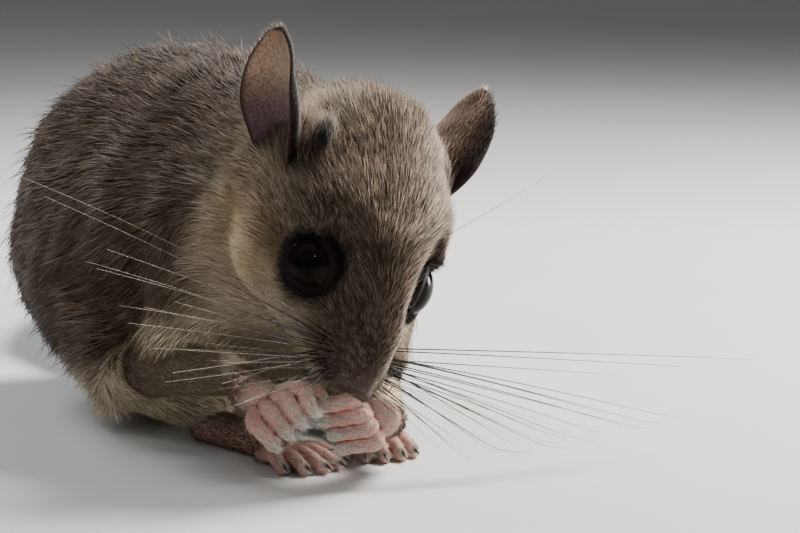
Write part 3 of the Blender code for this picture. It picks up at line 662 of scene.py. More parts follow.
def fleshCopy(node):
    # a merged copy of a node's mesh, grown a little, and without whiskers on a whisker pad
    bm = bmeshOf(frame["nodes"][node].data)
    bmesh.ops.remove_doubles(bm, verts=bm.verts, dist=1e-6)
    if node.startswith("whisker_pad"):
        x, y, z = skinPlan["padMiddle"]
        pad = head(x * (left if node.endswith("_l") else right), y, z)
        far = [v for v in bm.verts if (v.co - pad).length > skinPlan["padReach"] * mm]
        bmesh.ops.delete(bm, geom=far, context="VERTS")
        edges = [e for e in bm.edges if e.is_boundary]
        bmesh.ops.holes_fill(bm, edges=edges, sides=0)
    bmesh.ops.triangulate(bm, faces=bm.faces)
    bm.normal_update()
    for vertex in bm.verts:
        vertex.co += vertex.normal * skinPlan["grow"] * mm
    return bm


def headY(edge):
    middle = (edge.verts[0].co + edge.verts[1].co) / 2
    return ((middle - headMiddle) @ headAxes).y / mm


def makeSkin():
    whole = bmesh.new()
    for node in fleshNodes:
        mesh = meshOf(fleshCopy(node), "flesh")
        whole.from_mesh(mesh)
        bpy.data.meshes.remove(mesh)
    skin = fused(whole, "skin", furredSkin, skinPlan["voxel"] * mm, skinPlan["relax"])
    mesh = skin.data
    bm = bmeshOf(mesh)
    muzzleEdges = [e for e in bm.edges if headY(e) < skinPlan["fineBefore"]]
    bmesh.ops.subdivide_edges(bm, edges=muzzleEdges, cuts=1, use_grid_fill=True)
    bmesh.ops.triangulate(bm, faces=[f for f in bm.faces if len(f.verts) > 4])
    bm.to_mesh(mesh)
    bm.free()
    points, normals = meshPoints(mesh), pointNormals(mesh)
    found = regionsOf(points)
    depth = blended(found, "depth") + skinPlan["leftArmDepth"] * found["leftArm"]
    nearEye = fades(found["eyeNear"], 1.0, 4.5)
    depth += (skinPlan["nearEye"] - depth) * nearEye
    onFloor = smoothStep(-normals[:, 2], 0.5, 0.9) * fades(found["plain"][:, 2], 2, 6)
    depth += (skinPlan["floorDepth"] - depth) * onFloor
    setPoints(mesh, points - normals * depth[:, None] * mm)
    setPoints(mesh, relaxed(mesh, 3, 0.5))
    fillNeck(mesh)
    shapeFace(mesh)
    points, normals = meshPoints(mesh), pointNormals(mesh)
    setColour(mesh, marked(regionsOf(points), normals, points))
    return skin


def relaxed(mesh, rounds, share):
    # where the points go when each one moves towards the middle of its neighbours
    edges = tableOf(mesh.edges, "vertices", 2, int)
    points = meshPoints(mesh)
    count = np.bincount(edges.ravel(), minlength=len(points))
    for _ in range(rounds):
        total = np.zeros_like(points)
        for axis in range(3):
            for here, there in ((0, 1), (1, 0)):
                total[:, axis] += np.bincount(edges[:, here], points[edges[:, there], axis], len(points))
        points += (total / np.maximum(count, 1)[:, None] - points) * share
    return points


def fillNeck(mesh):
    # the dip where the head meets the neck and the shoulders fills up, as it does in a thick coat
    points, normals = meshPoints(mesh), pointNormals(mesh)
    found = regionsOf(points)
    share = smoothStep(found["hub"], 0.72, 0.98) * fades(found["hub"], 1.7, 2.3)
    share *= smoothStep(found["local"][:, 1], -5, 1)
    for side in bothSides:
        share *= smoothStep(eyeAround(found["local"], side)[0], 5, 8)
    rise = ((relaxed(mesh, 220, 0.6) - points) * normals).sum(1)
    setPoints(mesh, points + normals * (np.maximum(rise, 0) * share * skinPlan["neckRise"])[:, None])
    blurred = relaxed(mesh, 110, 0.6) + pointNormals(mesh) * skinPlan["neckFull"] * mm
    setPoints(mesh, toward(meshPoints(mesh), blurred, share))


def markHollows(mesh, rounds, full):
    # how deep each point lies below its surroundings, as a share of the full depth in millimetres; the bare skins paint
    # their shade by it
    away = relaxed(mesh, rounds, 0.6) - meshPoints(mesh)
    setNumber(mesh, "hollow", np.clip((away * pointNormals(mesh)).sum(1) / mm / full, 0, 1))


# The face: distances out from the eye's axis and heights over the eyeball, then the muzzle, the mouth and its groove
facePlan = {
    "reach": 30, "socket": 3.2, "socketHigh": -0.8, "edge": 4.2, "edgeHigh": 0.6, "rim": 3.9, "rimHigh": 1.05,
    "rimFall": 0.35, "rimRise": 2.2, "raised": (4.8, 7.2), "innerWay": (-0.62, -0.50, 0.60), "innerFull": (-0.1, 0.5),
    "innerHigh": 1.0, "innerFall": 0.12, "lowered": (6.0, 12.0), "slim": 0.13, "slimAhead": (3, 9),
    "slimHigh": (-9, -5), "crease": 0.85, "creaseWide": 0.45, "lip": 0.30, "lipOut": 1.15, "lipWide": 0.5,
    "groove": 0.45, "grooveWide": 0.4, "grooveAhead": (13, 15), "grooveLow": (3.5, 5),
}


def shapeFace(mesh):
    # the eyes' sockets, the line of the mouth with its lips, and the groove of the upper lip
    plan = facePlan
    points = meshPoints(mesh)
    local = toHead(points)
    near = lengths(local - np.array(bodyPlan["headHub"])) < plan["reach"]
    normals = pointNormals(mesh) @ axesTable
    for side in bothSides:
        aim = unit(onSide(bodyPlan["eyeAim"], side))
        out, height, outward = eyeAround(local, side)
        outside = out > plan["socket"]
        past = out - plan["rim"]
        rim = plan["rimHigh"] - np.where(past > 0, plan["rimFall"] * past, -plan["rimRise"] * past)
        lift = np.maximum(rim - height, 0) * fades(out, *plan["raised"]) * outside
        # the face before the eye stays low, so that it doesn't hide the eye
        inner = smoothStep(outward @ unit(onSide(plan["innerWay"], side)), *plan["innerFull"])
        least = plan["innerHigh"] - plan["innerFall"] * np.maximum(out - 4, 0)
        lift -= np.maximum(height - least, 0) * fades(out, *plan["lowered"]) * inner * outside
        most = np.where(outside, np.where(out < plan["edge"], plan["edgeHigh"], np.inf), plan["socketHigh"])
        move = np.minimum(height + lift, most) - height
        local = local + (move * near * (height > -5))[:, None] * aim
    slim = plan["slim"] * smoothStep(-local[:, 1], *plan["slimAhead"]) * smoothStep(local[:, 2], *plan["slimHigh"])
    local[:, 0] *= np.where(near, 1 - slim, 1)
    mouth = mouthDistance(local)
    swell = plan["lip"] * bell(mouth - plan["lipOut"], plan["lipWide"])
    swell = swell - plan["crease"] * bell(mouth, plan["creaseWide"])
    groove = bell(local[:, 0], plan["grooveWide"]) * smoothStep(-local[:, 1], *plan["grooveAhead"])
    groove = groove * smoothStep(-local[:, 2], *plan["grooveLow"])
    local = local + ((swell - plan["groove"] * groove) * near)[:, None] * normals
    setPoints(mesh, np.where(near[:, None], fromHead(local), points))


def unwrapped(obj):
    # an unwrap of the object's own shape, by the way that its faces point
    bpy.context.view_layer.objects.active = obj
    for other in bpy.context.scene.objects:
        other.select_set(other is obj)
    obj.data.uv_layers.new(name="OFBake")
    bpy.ops.object.mode_set(mode="EDIT")
    bpy.ops.mesh.select_all(action="SELECT")
    bpy.ops.uv.smart_project(angle_limit=math.radians(66), island_margin=0.002)
    bpy.ops.object.mode_set(mode="OBJECT")


# Hair: closed blades of three sides that taper from root to tip
strandPlan = {"flat": 0.55, "floor": 0.12, "patchWide": 0.0014, "patchLong": 0.0028, "paleShare": 0.40,
              "darkAbove": 0.74, "tipPale": 0.58, "tipDark": 0.6}


def rootsOn(mesh, dense, seed):
    # random places on a mesh, so many to each square millimetre, with what they need from the surface
    mesh.calc_loop_triangles()
    corners = tableOf(mesh.loop_triangles, "vertices", 3, int)
    points = meshPoints(mesh)
    a, b, c = (points[corners[:, k]] for k in range(3))
    area = lengths(np.cross(b - a, c - a)) / 2 / mm ** 2
    draw = np.random.default_rng(seed)
    wanted = area * dense[corners].mean(1)
    count = np.floor(wanted + draw.random(len(wanted))).astype(int)
    chosen = np.repeat(np.arange(len(count)), count)
    first, second = draw.random(len(chosen)), draw.random(len(chosen))
    flip = first + second > 1
    first[flip], second[flip] = 1 - first[flip], 1 - second[flip]
    roots = {"corners": corners[chosen], "weights": np.stack((1 - first - second, first, second), 1)}
    roots["point"] = carried(roots, points)
    roots["normal"] = unit(carried(roots, pointNormals(mesh)))
    loops = tableOf(mesh.loop_triangles, "loops", 3, int)
    uv = tableOf(mesh.uv_layers["OFBake"].data, "uv", 2)[loops[chosen]]
    roots["uv"] = (uv * roots["weights"][:, :, None]).sum(1)
    return roots


def carried(roots, values):
    # a value of the mesh's points at the roots
    picked = values[roots["corners"]]
    weights = roots["weights"]
    return (picked * (weights[:, :, None] if picked.ndim == 3 else weights)).sum(1)


def alongSkin(way, normal):
    return unit(way - (way * normal).sum(1, keepdims=True) * normal)


def strandPaths(roots, flow, length, lift, lay, stations, sink):
    # a strand leaves the skin at its lift and lies down towards its tip
    normal = roots["normal"]
    start, end = (flow * np.cos(a)[:, None] + normal * np.sin(a)[:, None] for a in (lift, lay))
    base = roots["point"] - normal * np.broadcast_to(sink, len(normal))[:, None] * mm
    return np.stack([base + (start * u + (end - start) * u * u / 2) * (length * mm)[:, None] for u in stations], 1)


def clumped(paths, every, pull, seed):
    # the tips of neighbours draw together into tufts; gives the paths and each one's tuft
    draw = np.random.default_rng(seed)
    chosen = np.flatnonzero(draw.random(len(paths)) < 1 / every)
    tree = KDTree(len(chosen))
    for place, index in enumerate(chosen):
        tree.insert(paths[index, 0], place)
    tree.balance()
    nearest = np.array([tree.find(point)[1] for point in paths[:, 0]])
    guide = paths[chosen[nearest]]
    stations = np.linspace(0, 1, paths.shape[1])
    share = (pull * draw.uniform(0.4, 1, len(paths)))[:, None] * stations[None, :] ** 1.5
    return toward(paths, guide, share), nearest


def strandFaces(rings):
    # the faces of one strand: a closed root, its sides ring by ring, and its tip
    faces = [(0, 1, 2)]
    for here in range(0, rings * 3 - 3, 3):
        for k in range(3):
            n = (k + 1) % 3
            there = here + 3
            faces += [(here + k, there + k, here + n), (here + n, there + k, there + n)]
    last = rings * 3 - 3
    return np.array(faces + [(last + k, rings * 3, last + (k + 1) % 3) for k in range(3)])


def strandMesh(name, paths, normals, wide, colours, uv):
    # every strand of one piece as a single mesh; wide is half its width at each station but the tip
    count, stations = paths.shape[:2]
    rings = stations - 1
    ahead = unit(paths[:, -1] - paths[:, 0])
    side = unit(np.cross(ahead, normals))
    over = np.cross(side, ahead)
    turns = np.radians((90, 210, 330))
    spread = np.stack([side * math.cos(a) + over * math.sin(a) * strandPlan["flat"] for a in turns], 1)
    body = paths[:, :rings, None, :] + spread[:, None, :, :] * (wide * mm)[:, :, None, None]
    points = np.concatenate((body.reshape(count, -1, 3), paths[:, -1:, :]), 1)
    points[:, :, 2] = np.maximum(points[:, :, 2], strandPlan["floor"] * mm)
    each = rings * 3 + 1
    table = (strandFaces(rings)[None, :, :] + (np.arange(count) * each)[:, None, None]).reshape(-1)
    mesh = bpy.data.meshes.new(name)
    mesh.vertices.add(count * each)
    mesh.vertices.foreach_set("co", np.ascontiguousarray(points, np.float32).ravel())
    mesh.loops.add(len(table))
    mesh.loops.foreach_set("vertex_index", table.astype(np.int32))
    mesh.polygons.add(len(table) // 3)
    mesh.polygons.foreach_set("loop_start", np.arange(0, len(table), 3, dtype=np.int32))
    mesh.update(calc_edges=True)
    mesh.shade_smooth()
    setColour(mesh, np.concatenate((np.repeat(colours[:, :rings], 3, 1), colours[:, -1:]), 1).reshape(-1, 3))
    # each strand's patch on the unwrap, at its root's place
    patchWide, patchLong = strandPlan["patchWide"], strandPlan["patchLong"]
    patch = [((k - 1) * patchWide, (ring / rings - 0.5) * patchLong) for ring in range(rings) for k in range(3)]
    places = (uv[:, None, :] + np.array(patch + [(0, patchLong / 2)])[None, :, :]).reshape(-1, 2)
    layer = mesh.uv_layers.new(name="OFBake")
    layer.data.foreach_set("uv", np.ascontiguousarray(places[table], np.float32).ravel())
    return newObject(name, mesh, coatHair)


def strandMeshes(name, chosen, most, paths, normals, wide, colours, uv):
    # the chosen strands as a row of numbered pieces, each with so many strands at most
    made = []
    for number, chunk in enumerate(np.array_split(chosen, math.ceil(len(chosen) / most)), 1):
        made.append(strandMesh("%s_%d" % (name, number), paths[chunk], normals[chunk], wide[chunk], colours[chunk],
                               uv[chunk]))
    return made


def strandColours(base, stations, grey, draw, whole=0.0, group=None):
    # dark at the root; on the grey parts many tips are pale and some are dark
    # whole is how much of that difference runs down to the root; the strands of a tuft are alike
    count = len(base)
    steps = np.linspace(0, 1, stations)
    kind = draw.random(count)
    if group is not None:
        kind = np.where(draw.random(count) < 0.55, draw.random(group.max() + 1)[group], kind)
    paleTip = np.where(kind > strandPlan["darkAbove"], -0.9, 0.05)
    paleTip = np.where(kind < strandPlan["paleShare"], draw.uniform(0.25, 1.0, count), paleTip) * grey
    rootShade = (0.40 + 0.35 * (1 - grey))[:, None]
    tone = draw.normal(1, 0.20, count).clip(0.45, 1.7)
    whole = np.broadcast_to(whole, count)[:, None]
    band = rootShade + (1 - rootShade) * smoothStep(steps, 0.0, 0.6)
    light = np.clip(paleTip, 0, 1)[:, None] * (whole + (1 - whole) * smoothStep(steps, 0.35, 0.9))
    dark = np.clip(-paleTip, 0, 1)[:, None] * (whole + (1 - whole) * smoothStep(steps, 0.3, 0.8))
    colours = base[:, None, :] * band[:, :, None] * tone[:, None, None]
    colours = toward(colours, paint("paleTip"), light * strandPlan["tipPale"])
    return np.clip(colours * (1 - strandPlan["tipDark"] * dark)[:, :, None], 0, 1)


def shortHair(name, roots, draw, flow, length, lift, lay, base, grey, wide, vary, sink=0.1, clump=None):
    # straight hair; lay is how much of its lift is left at its tip, vary how much its width changes
    paths = strandPaths(roots, alongSkin(flow, roots["normal"]), length, lift, lift * lay, (0, 1), sink)
    if clump:
        paths, _ = clumped(paths, *clump)
    colours = strandColours(base, 2, grey, draw)
    wide = wide * draw.uniform(*vary, len(base)) if vary else wide
    return strandMesh(name, paths, roots["normal"], wide[:, None], colours, roots["uv"])


def lieOf(points, normals, found):
    # the way that the coat lies: back over the head and trunk, down the flanks and along the limbs
    local, plain = found["local"], found["plain"]

    def turned(way, goal, share):
        share = share[:, None]
        return way * (1 - share) + goal * share

    side = np.clip(local[:, :1] / 7, -1, 1)
    low = smoothStep(-local[:, 2], -2, 7)[:, None]
    face = unit(np.concatenate((side * (0.25 + 0.75 * low), 1 - 0.45 * low, -0.55 * low), 1))
    face = turned(face, unit(local - np.array((0, -19.0, -3.0))) * 1.3, found["muzzle"])
    for each in bothSides:
        out, height, outward = eyeAround(local, each)
        face = face + outward * (np.exp(-np.maximum(out - 3.8, 0) / 1.5) * (height > -5))[:, None] * 1.7
    flank = smoothStep(np.abs(plain[:, 0] + 2), 8, 26)
    aft = smoothStep(plain[:, 1], 30, 60)
    front = fades(plain[:, 1], -22, -8) * fades(plain[:, 2], 26, 36)
    way = np.stack((0 * flank, 1 + 0 * flank, -0.55 * flank - 1.1 * aft), 1)
    way = turned(way, np.array((0, 0.5, -1.0)), front)
    for limb, (start, end, _, _) in limbPlan.items():
        ways = [unit(np.array(bodyPlan[end][each], float) - np.array(bodyPlan[start][each], float))
                for each in (left, right)]
        way = turned(way, np.where(plain[:, :1] > -2, *ways), found[limb])
    way = turned(unit(way), unit(face @ axesTable.T), found["faceLie"])
    swirl = np.stack([ripple(points / mm, 14, seed) for seed in (11, 12, 13)], 1)
    way = unit(way) + swirl * 0.16
    lips = headWay(0, -1.0, -0.35) - np.sign(local[:, :1]) * headWay(0.7, 0, 0)
    way = toward(way, lips * 1.2, np.clip(found["lip"] * 1.6, 0, 1))
    for each in bothSides:
        way = turned(way, headWay(0.18 * each, 0.55, 0.85), beforeEar(local, each, 3.2))
        way = turned(way, headWay(-0.22 * each, 0.66, 0.70), earTuft(local, each, 2.6))
    return alongSkin(way, normals)


# The coat; a piece holds so many long or short strands at most
furPlan = {"guardShare": 0.025, "guardLonger": 1.35, "straightBelow": 4.6, "longMost": 19000, "shortMost": 48000,
           "bareNose": 1.5, "restDense": 0.4, "noseLength": 0.45, "eyeLength": 0.40, "lipLonger": 2.9,
           "earLonger": 2.0, "tuftLonger": 2.0, "tuftLift": 9, "lipLift": 8}


def coatDensity(mesh):
    # strands to each square millimetre; none on the eyes, the lips' line and the nose, few under the body
    points, normals = meshPoints(mesh), pointNormals(mesh)
    found = regionsOf(points)
    fromNose = (found["local"] - np.array(bodyPlan["noseMiddle"])) / np.array(nosePlan["half"])
    bare = (lengths(fromNose) < furPlan["bareNose"]) & (-fromNose[:, 1] > 0.55) & (fromNose[:, 2] < 0.25)
    bare |= found["mouth"] < 0.4
    for each in bothSides:
        out, height, _ = eyeAround(found["local"], each)
        bare |= (out < 4.0) & (height > -4)
    resting = (found["plain"][:, 2] < 2.5) & (normals[:, 2] < -0.8)
    return np.where(resting, furPlan["restDense"], np.where(bare, 0, blended(found, "dense")))


def furOn(skin):
    roots = rootsOn(skin.data, coatDensity(skin.data), 21)
    point, normal = roots["point"], roots["normal"]
    found = regionsOf(point)
    local, lip = found["local"], found["lip"]
    draw = np.random.default_rng(22)
    count = len(point)
    flow = alongSkin(lieOf(point, normal, found) + draw.normal(0, 0.13, (count, 3)), normal)
    length = blended(found, "length") * (1 - 0.35 * smoothStep(-normal[:, 2], 0.3, 0.8))
    noseNear = fades(lengths(local - np.array(bodyPlan["noseMiddle"])), 2.0, 5.5)
    length *= 1 - (1 - furPlan["noseLength"]) * noseNear
    length *= 1 - (1 - furPlan["eyeLength"]) * fades(found["eyeNear"], 0.3, 6.5)
    length += furPlan["lipLonger"] * lip
    length += furPlan["earLonger"] * (beforeEar(local, right, 3.6) + beforeEar(local, left, 3.6))
    length *= draw.uniform(0.72, 1.12, count) * (1 + 0.12 * ripple(point / mm, 7, 23))
    tuft = earTuft(local, left, 2.0) + earTuft(local, right, 2.0)
    length += furPlan["tuftLonger"] * tuft
    guard = draw.random(count) < furPlan["guardShare"] * (1 - found["muzzle"])
    length = np.where(guard, length * furPlan["guardLonger"], length)
    long = smoothStep(length, 3, 7)
    lift = 22 - 4 * long + (16 - 9 * long) * draw.random(count) + 4 * ripple(point / mm, 6, 24)
    lift = np.radians(lift + furPlan["lipLift"] * lip + furPlan["tuftLift"] * tuft) + 0.22 * guard
    lay = np.radians(draw.uniform(-9, 6, count) + 8 * (1 - long)) + 0.2 * guard
    paths = strandPaths(roots, flow, length, lift, lay, (0, 0.5, 1), 0.06 + 0.24 * long)
    paths, group = clumped(paths, 5 + 7 * long, 0.14 + 0.12 * long, 25)
    base = marked(found, normal, point)
    bright = base.mean(1)
    grey = (1 - 0.75 * smoothStep(bright, 0.16, 0.42)) * smoothStep(bright, 0.004, 0.030)
    # long hair keeps more pale tips high on the back and fewer low on the flanks: painted light from above and painted
    # shade on the flanks
    high = smoothStep(found["plain"][:, 2], 22, 46)
    colours = strandColours(base, 3, grey * (1 - long * (0.55 - 0.35 * high)), draw, 0.35 - 0.25 * long, group)
    wide = blended(found, "wide") * draw.uniform(0.8, 1.2, count) * np.where(guard, 0.75, 1)
    wide = np.stack((wide * 0.85, wide), 1)
    order = np.argsort(found["plain"][:, 1], kind="stable")
    short = (length < furPlan["straightBelow"])[order]
    # long hair bends once; short hair is straight, with one ring of corners
    ends = paths[:, (0, 2)], normal, wide[:, :1] * 1.3, colours[:, (0, 2)], roots["uv"]
    print("coat:", (~short).sum(), "long strands,", short.sum(), "short ones")
    made = strandMeshes("coat", order[~short], furPlan["longMost"], paths, normal, wide, colours, roots["uv"])
    return made + strandMeshes("shortCoat", order[short], furPlan["shortMost"], *ends)


# Eyes and lids; the rim is given by angles past the opening and heights over the eyeball
eyePlan = {"long": 3.5, "short": 3.0, "lidReach": 4.7, "around": 72, "lidSteps": 8, "pinch": 0.12, "thick": 0.5,
           "rim": ((0.02, -0.30), (0.0, 0.06), (0.05, 0.20), (0.12, 0.27)), "furFrom": 3.55}


def eyeAxes(side):
    aim = Vector(unit(onSide(bodyPlan["eyeAim"], side)))
    back = (Vector((0, 1, 0)) - aim * aim.y).normalized()
    return Vector(onSide(bodyPlan["eyeMiddle"], side)), aim, back, aim.cross(back)


def makeEyeball(side):
    middle, aim, back, over = eyeAxes(side)
    bm = bmesh.new()
    bmesh.ops.create_uvsphere(bm, u_segments=56, v_segments=40, radius=1)
    mesh = meshOf(bm, "eyeball" + tag[side])
    ball = meshPoints(mesh)
    wide, deep = bodyPlan["eyeWide"], bodyPlan["eyeDeep"]
    setPoints(mesh, fromHead(ball * np.array((wide, wide, deep)) @ np.array((back, over, aim)) + np.array(middle)))
    setNumber(mesh, "outward", ball[:, 2])
    settled(newObject(mesh.name, mesh, eyeballFinish), "eye", "eye" + tag[side])


def makeLids(side, skinTree):
    # a rolled edge against the eyeball that runs out onto the skin round it
    middle, aim, back, over = eyeAxes(side)
    ball, deep = bodyPlan["eyeWide"], bodyPlan["eyeDeep"]
    steps = eyePlan["lidSteps"]
    bm = bmesh.new()
    rings = []
    for i in range(eyePlan["around"]):
        angle = math.tau * i / eyePlan["around"]
        radial = back * math.cos(angle) + over * math.sin(angle)
        half = 1 / math.hypot(math.cos(angle) / eyePlan["long"], math.sin(angle) / eyePlan["short"])
        opened = math.asin((half + abs(math.cos(angle)) ** 6 * eyePlan["pinch"]) / ball)
        ring = [middle + aim * math.cos(opened + a) * (deep + h) + radial * math.sin(opened + a) * (ball + h)
                for a, h in eyePlan["rim"]]
        start = headPlace @ ((middle + radial * eyePlan["lidReach"] + aim * 9) * mm)
        hit = skinTree.ray_cast(start, -(headAxes @ aim), 0.02)[0]
        foot = (headPlace.inverted() @ hit) / mm if hit else middle + radial * eyePlan["lidReach"]
        foot = foot - aim * 0.35
        edge = ring[-1]
        tail = edge + radial * 0.5 - aim * 0.12
        lead = foot + aim * 0.6 - radial * 0.3
        for t in (k / steps for k in range(1, steps + 1)):
            ring.append(edge * (1 - t) ** 3 + tail * 3 * t * (1 - t) ** 2 + lead * 3 * t * t * (1 - t) + foot * t ** 3
                        + aim * 0.05 * math.sin(t * 13) * math.sin(math.pi * t))
        under = [p - aim * eyePlan["thick"] for p in (ring[-1], ring[len(ring) // 2])]
        rings.append([bm.verts.new(headPlace @ (p * mm)) for p in ring + under])
    for here, there in zip(rings, rings[1:] + rings[:1]):
        for k in range(len(here)):
            m = (k + 1) % len(here)
            bm.faces.new((here[k], there[k], there[m], here[m]))
    bmesh.ops.recalc_face_normals(bm, faces=bm.faces)
    mesh = meshOf(bm, "lids" + tag[side])
    markHollows(mesh, 12, 0.2)
    lids = newObject(mesh.name, mesh, lidSkin)
    settled(lids, "nose_skin")
    return lids


def furOnLids(lids, side):
    # short dark hair from the outer half of the lids
    unwrapped(lids)
    mesh = lids.data
    points, normals = meshPoints(mesh), pointNormals(mesh)
    out, _, _ = eyeAround(toHead(points), side)
    aim = headWay(*unit(onSide(bodyPlan["eyeAim"], side)))
    roots = rootsOn(mesh, np.where((out > eyePlan["furFrom"]) & (normals @ aim > 0.05), 44.0, 0.0), 41 + side)
    draw = np.random.default_rng(43 + side)
    count = len(roots["point"])
    found = regionsOf(roots["point"])
    out, _, outward = eyeAround(found["local"], side)
    flow = (outward + np.array((0, 0.35, 0)) + draw.normal(0, 0.2, (count, 3))) @ axesTable.T
    length = (0.7 + 0.9 * (out - eyePlan["furFrom"])) * draw.uniform(0.7, 1.3, count)
    lift = np.radians(draw.uniform(16, 42, count))
    base = marked(found, roots["normal"], roots["point"])
    return shortHair("lidHair" + tag[side], roots, draw, flow, length, lift, 0.5, base, np.full(count, 0.08),
                     np.full(count, 0.055), None)


# Nose
nosePlan = {"half": (2.05, 1.6, 1.6), "around": 72, "up": 50, "nostrilOut": 1.1, "forward": 0.1, "drop": 0.35}


def makeNose():
    # swollen at both sides of a groove, with a comma of a nostril in each
    bm = bmesh.new()
    bmesh.ops.create_uvsphere(bm, u_segments=nosePlan["around"], v_segments=nosePlan["up"], radius=1)
    mesh = meshOf(bm, "nosePad")
    ball = meshPoints(mesh)
    half = np.array(nosePlan["half"])
    x, y, z = ball.T
    out = np.abs(x)
    front = smoothStep(-y, 0.0, 0.7)
    swell = 0.22 * bell(out - 0.52, 0.26) * bell(z - 0.1, 0.5) * front
    groove = -0.34 * bell(x, 0.085) * smoothStep(-y, 0.2, 0.8) * smoothStep(-z, -0.55, 0.2)
    slit = out - nosePlan["nostrilOut"] / half[0] - 0.25 * (z - 0.1) ** 2
    curl = z - 0.02 - 0.30 * (out - 0.5)
    hole = -0.75 * bell(slit, 0.15) * bell(curl, 0.17) * front
    points = ball * half + unit(ball / half) * (swell + groove + hole)[:, None]
    middle = np.array(bodyPlan["noseMiddle"]) - np.array((0, nosePlan["forward"], nosePlan["drop"]))
    setPoints(mesh, fromHead(points + middle))
    markHollows(mesh, 16, 0.25)
    settled(newObject("nosePad", mesh, noseSkin), "nose_skin", "nose")


# Ears
earPlan = {"length": 16.4, "width": 14.6, "widest": 0.44, "sunk": 0.36, "wall": 0.34, "aim": (0.30, 0.70, 0.64),
           "opening": (1, 0, 0), "longSteps": 40, "wideSteps": 36, "behind": 0.17, "fold": 0.42, "wave": 0.10,
           "bow": 1.4, "rollFrom": 0.80, "rollOut": 0.35, "rollIn": 0.55}


def earAxes(side):
    aim = Vector(earPlan["aim"]).normalized()
    aim.x *= side
    opening = Vector(earPlan["opening"]) * side
    across = aim.cross(opening).normalized()
    return Vector(onSide(bodyPlan["earRoot"], side)), aim, across.cross(aim), across


def earPoint(along, across, side):
    # the cup's wall; its front edge rolls in, and folds run up from its root
    widest = earPlan["widest"]
    if along > widest:
        share = max(1 - ((along - widest) / (1 - widest)) ** 1.8, 0) ** 0.6
    else:
        share = 1 - 0.62 * (1 - along / widest) ** 1.6
    front = -across * side
    behind = max(-front, 0) * bell(along - 0.42, 0.26)
    half = earPlan["width"] / 2 * max(share, 0.06) * (1 + earPlan["behind"] * behind)
    curl = 1.20 - 0.80 * along
    radius = half / math.sin(curl)
    fold = earPlan["fold"] * (1 - along) ** 2 * math.cos(across * 8.5 + 0.6) * (1 - abs(across) ** 4)
    roll = max(front - earPlan["rollFrom"], 0) / 0.20 * math.sin(math.pi * min(along * 1.15, 1))
    wave = earPlan["wave"] * math.sin(along * 17 + across * 4) * along
    x = radius * (math.cos(curl) - math.cos(across * curl)) + earPlan["bow"] * math.sin(math.pi * along)
    x = x + fold + roll * earPlan["rollOut"] + wave
    y = radius * math.sin(across * curl) + side * roll * roll * earPlan["rollIn"]
    return x, y, earPlan["length"] * (along - earPlan["sunk"] * (1 - along) ** 2)


def makeEar(side):
    root, aim, out, across = earAxes(side)
    longSteps, wideSteps = earPlan["longSteps"], earPlan["wideSteps"]
    bm = bmesh.new()
    uvLayer = bm.loops.layers.uv.new("OFBake")
    grid, facts = [], {}
    for i in range(longSteps + 1):
        along = math.sin(math.pi / 2 * i / longSteps)
        grid.append([])
        for k in range(wideSteps + 1):
            wide = 2 * k / wideSteps - 1
            front = -wide * side
            x, y, z = earPoint(along, wide, side)
            vertex = bm.verts.new(headPlace @ ((root + out * x + across * y + aim * z) * mm))
            facts[vertex] = (along, max(front, front * -0.94, along ** 3 * 0.98), front, wide)
            grid[-1].append(vertex)
    for here, there in zip(grid, grid[1:]):
        for k in range(wideSteps):
            face = bm.faces.new((here[k], here[k + 1], there[k + 1], there[k]))
            for loop in face.loops:
                along, _, _, wide = facts[loop.vert]
                loop[uvLayer].uv = (0.25 + 0.22 * wide, 0.05 + 0.9 * along)
    numbers = list(zip(*facts.values()))
    ear = newObject("earShell" + tag[side], meshOf(bm, "earShell" + tag[side]), earSkin)
    for name, values in zip(("along", "edge", "front"), numbers):
        setNumber(ear.data, name, values)
    wall = ear.modifiers.new("wall", "SOLIDIFY")
    wall.thickness = earPlan["wall"] * mm
    wall.offset = 0
    evaluated(ear)
    bm = bmeshOf(ear.data)
    bmesh.ops.recalc_face_normals(bm, faces=bm.faces)
    uvLayer = bm.loops.layers.uv["OFBake"]
    outWay = headAxes @ out
    for face in bm.faces:
        if face.normal.dot(outWay) < 0:
            for loop in face.loops:
                loop[uvLayer].uv.x += 0.5
    bm.to_mesh(ear.data)
    bm.free()
    setNumber(ear.data, "outside", smoothStep(-pointNormals(ear.data) @ np.array(outWay), -0.05, 0.25))
    ear.data.shade_smooth()
    settled(ear, "ear_skin", "ear" + tag[side])
    return ear


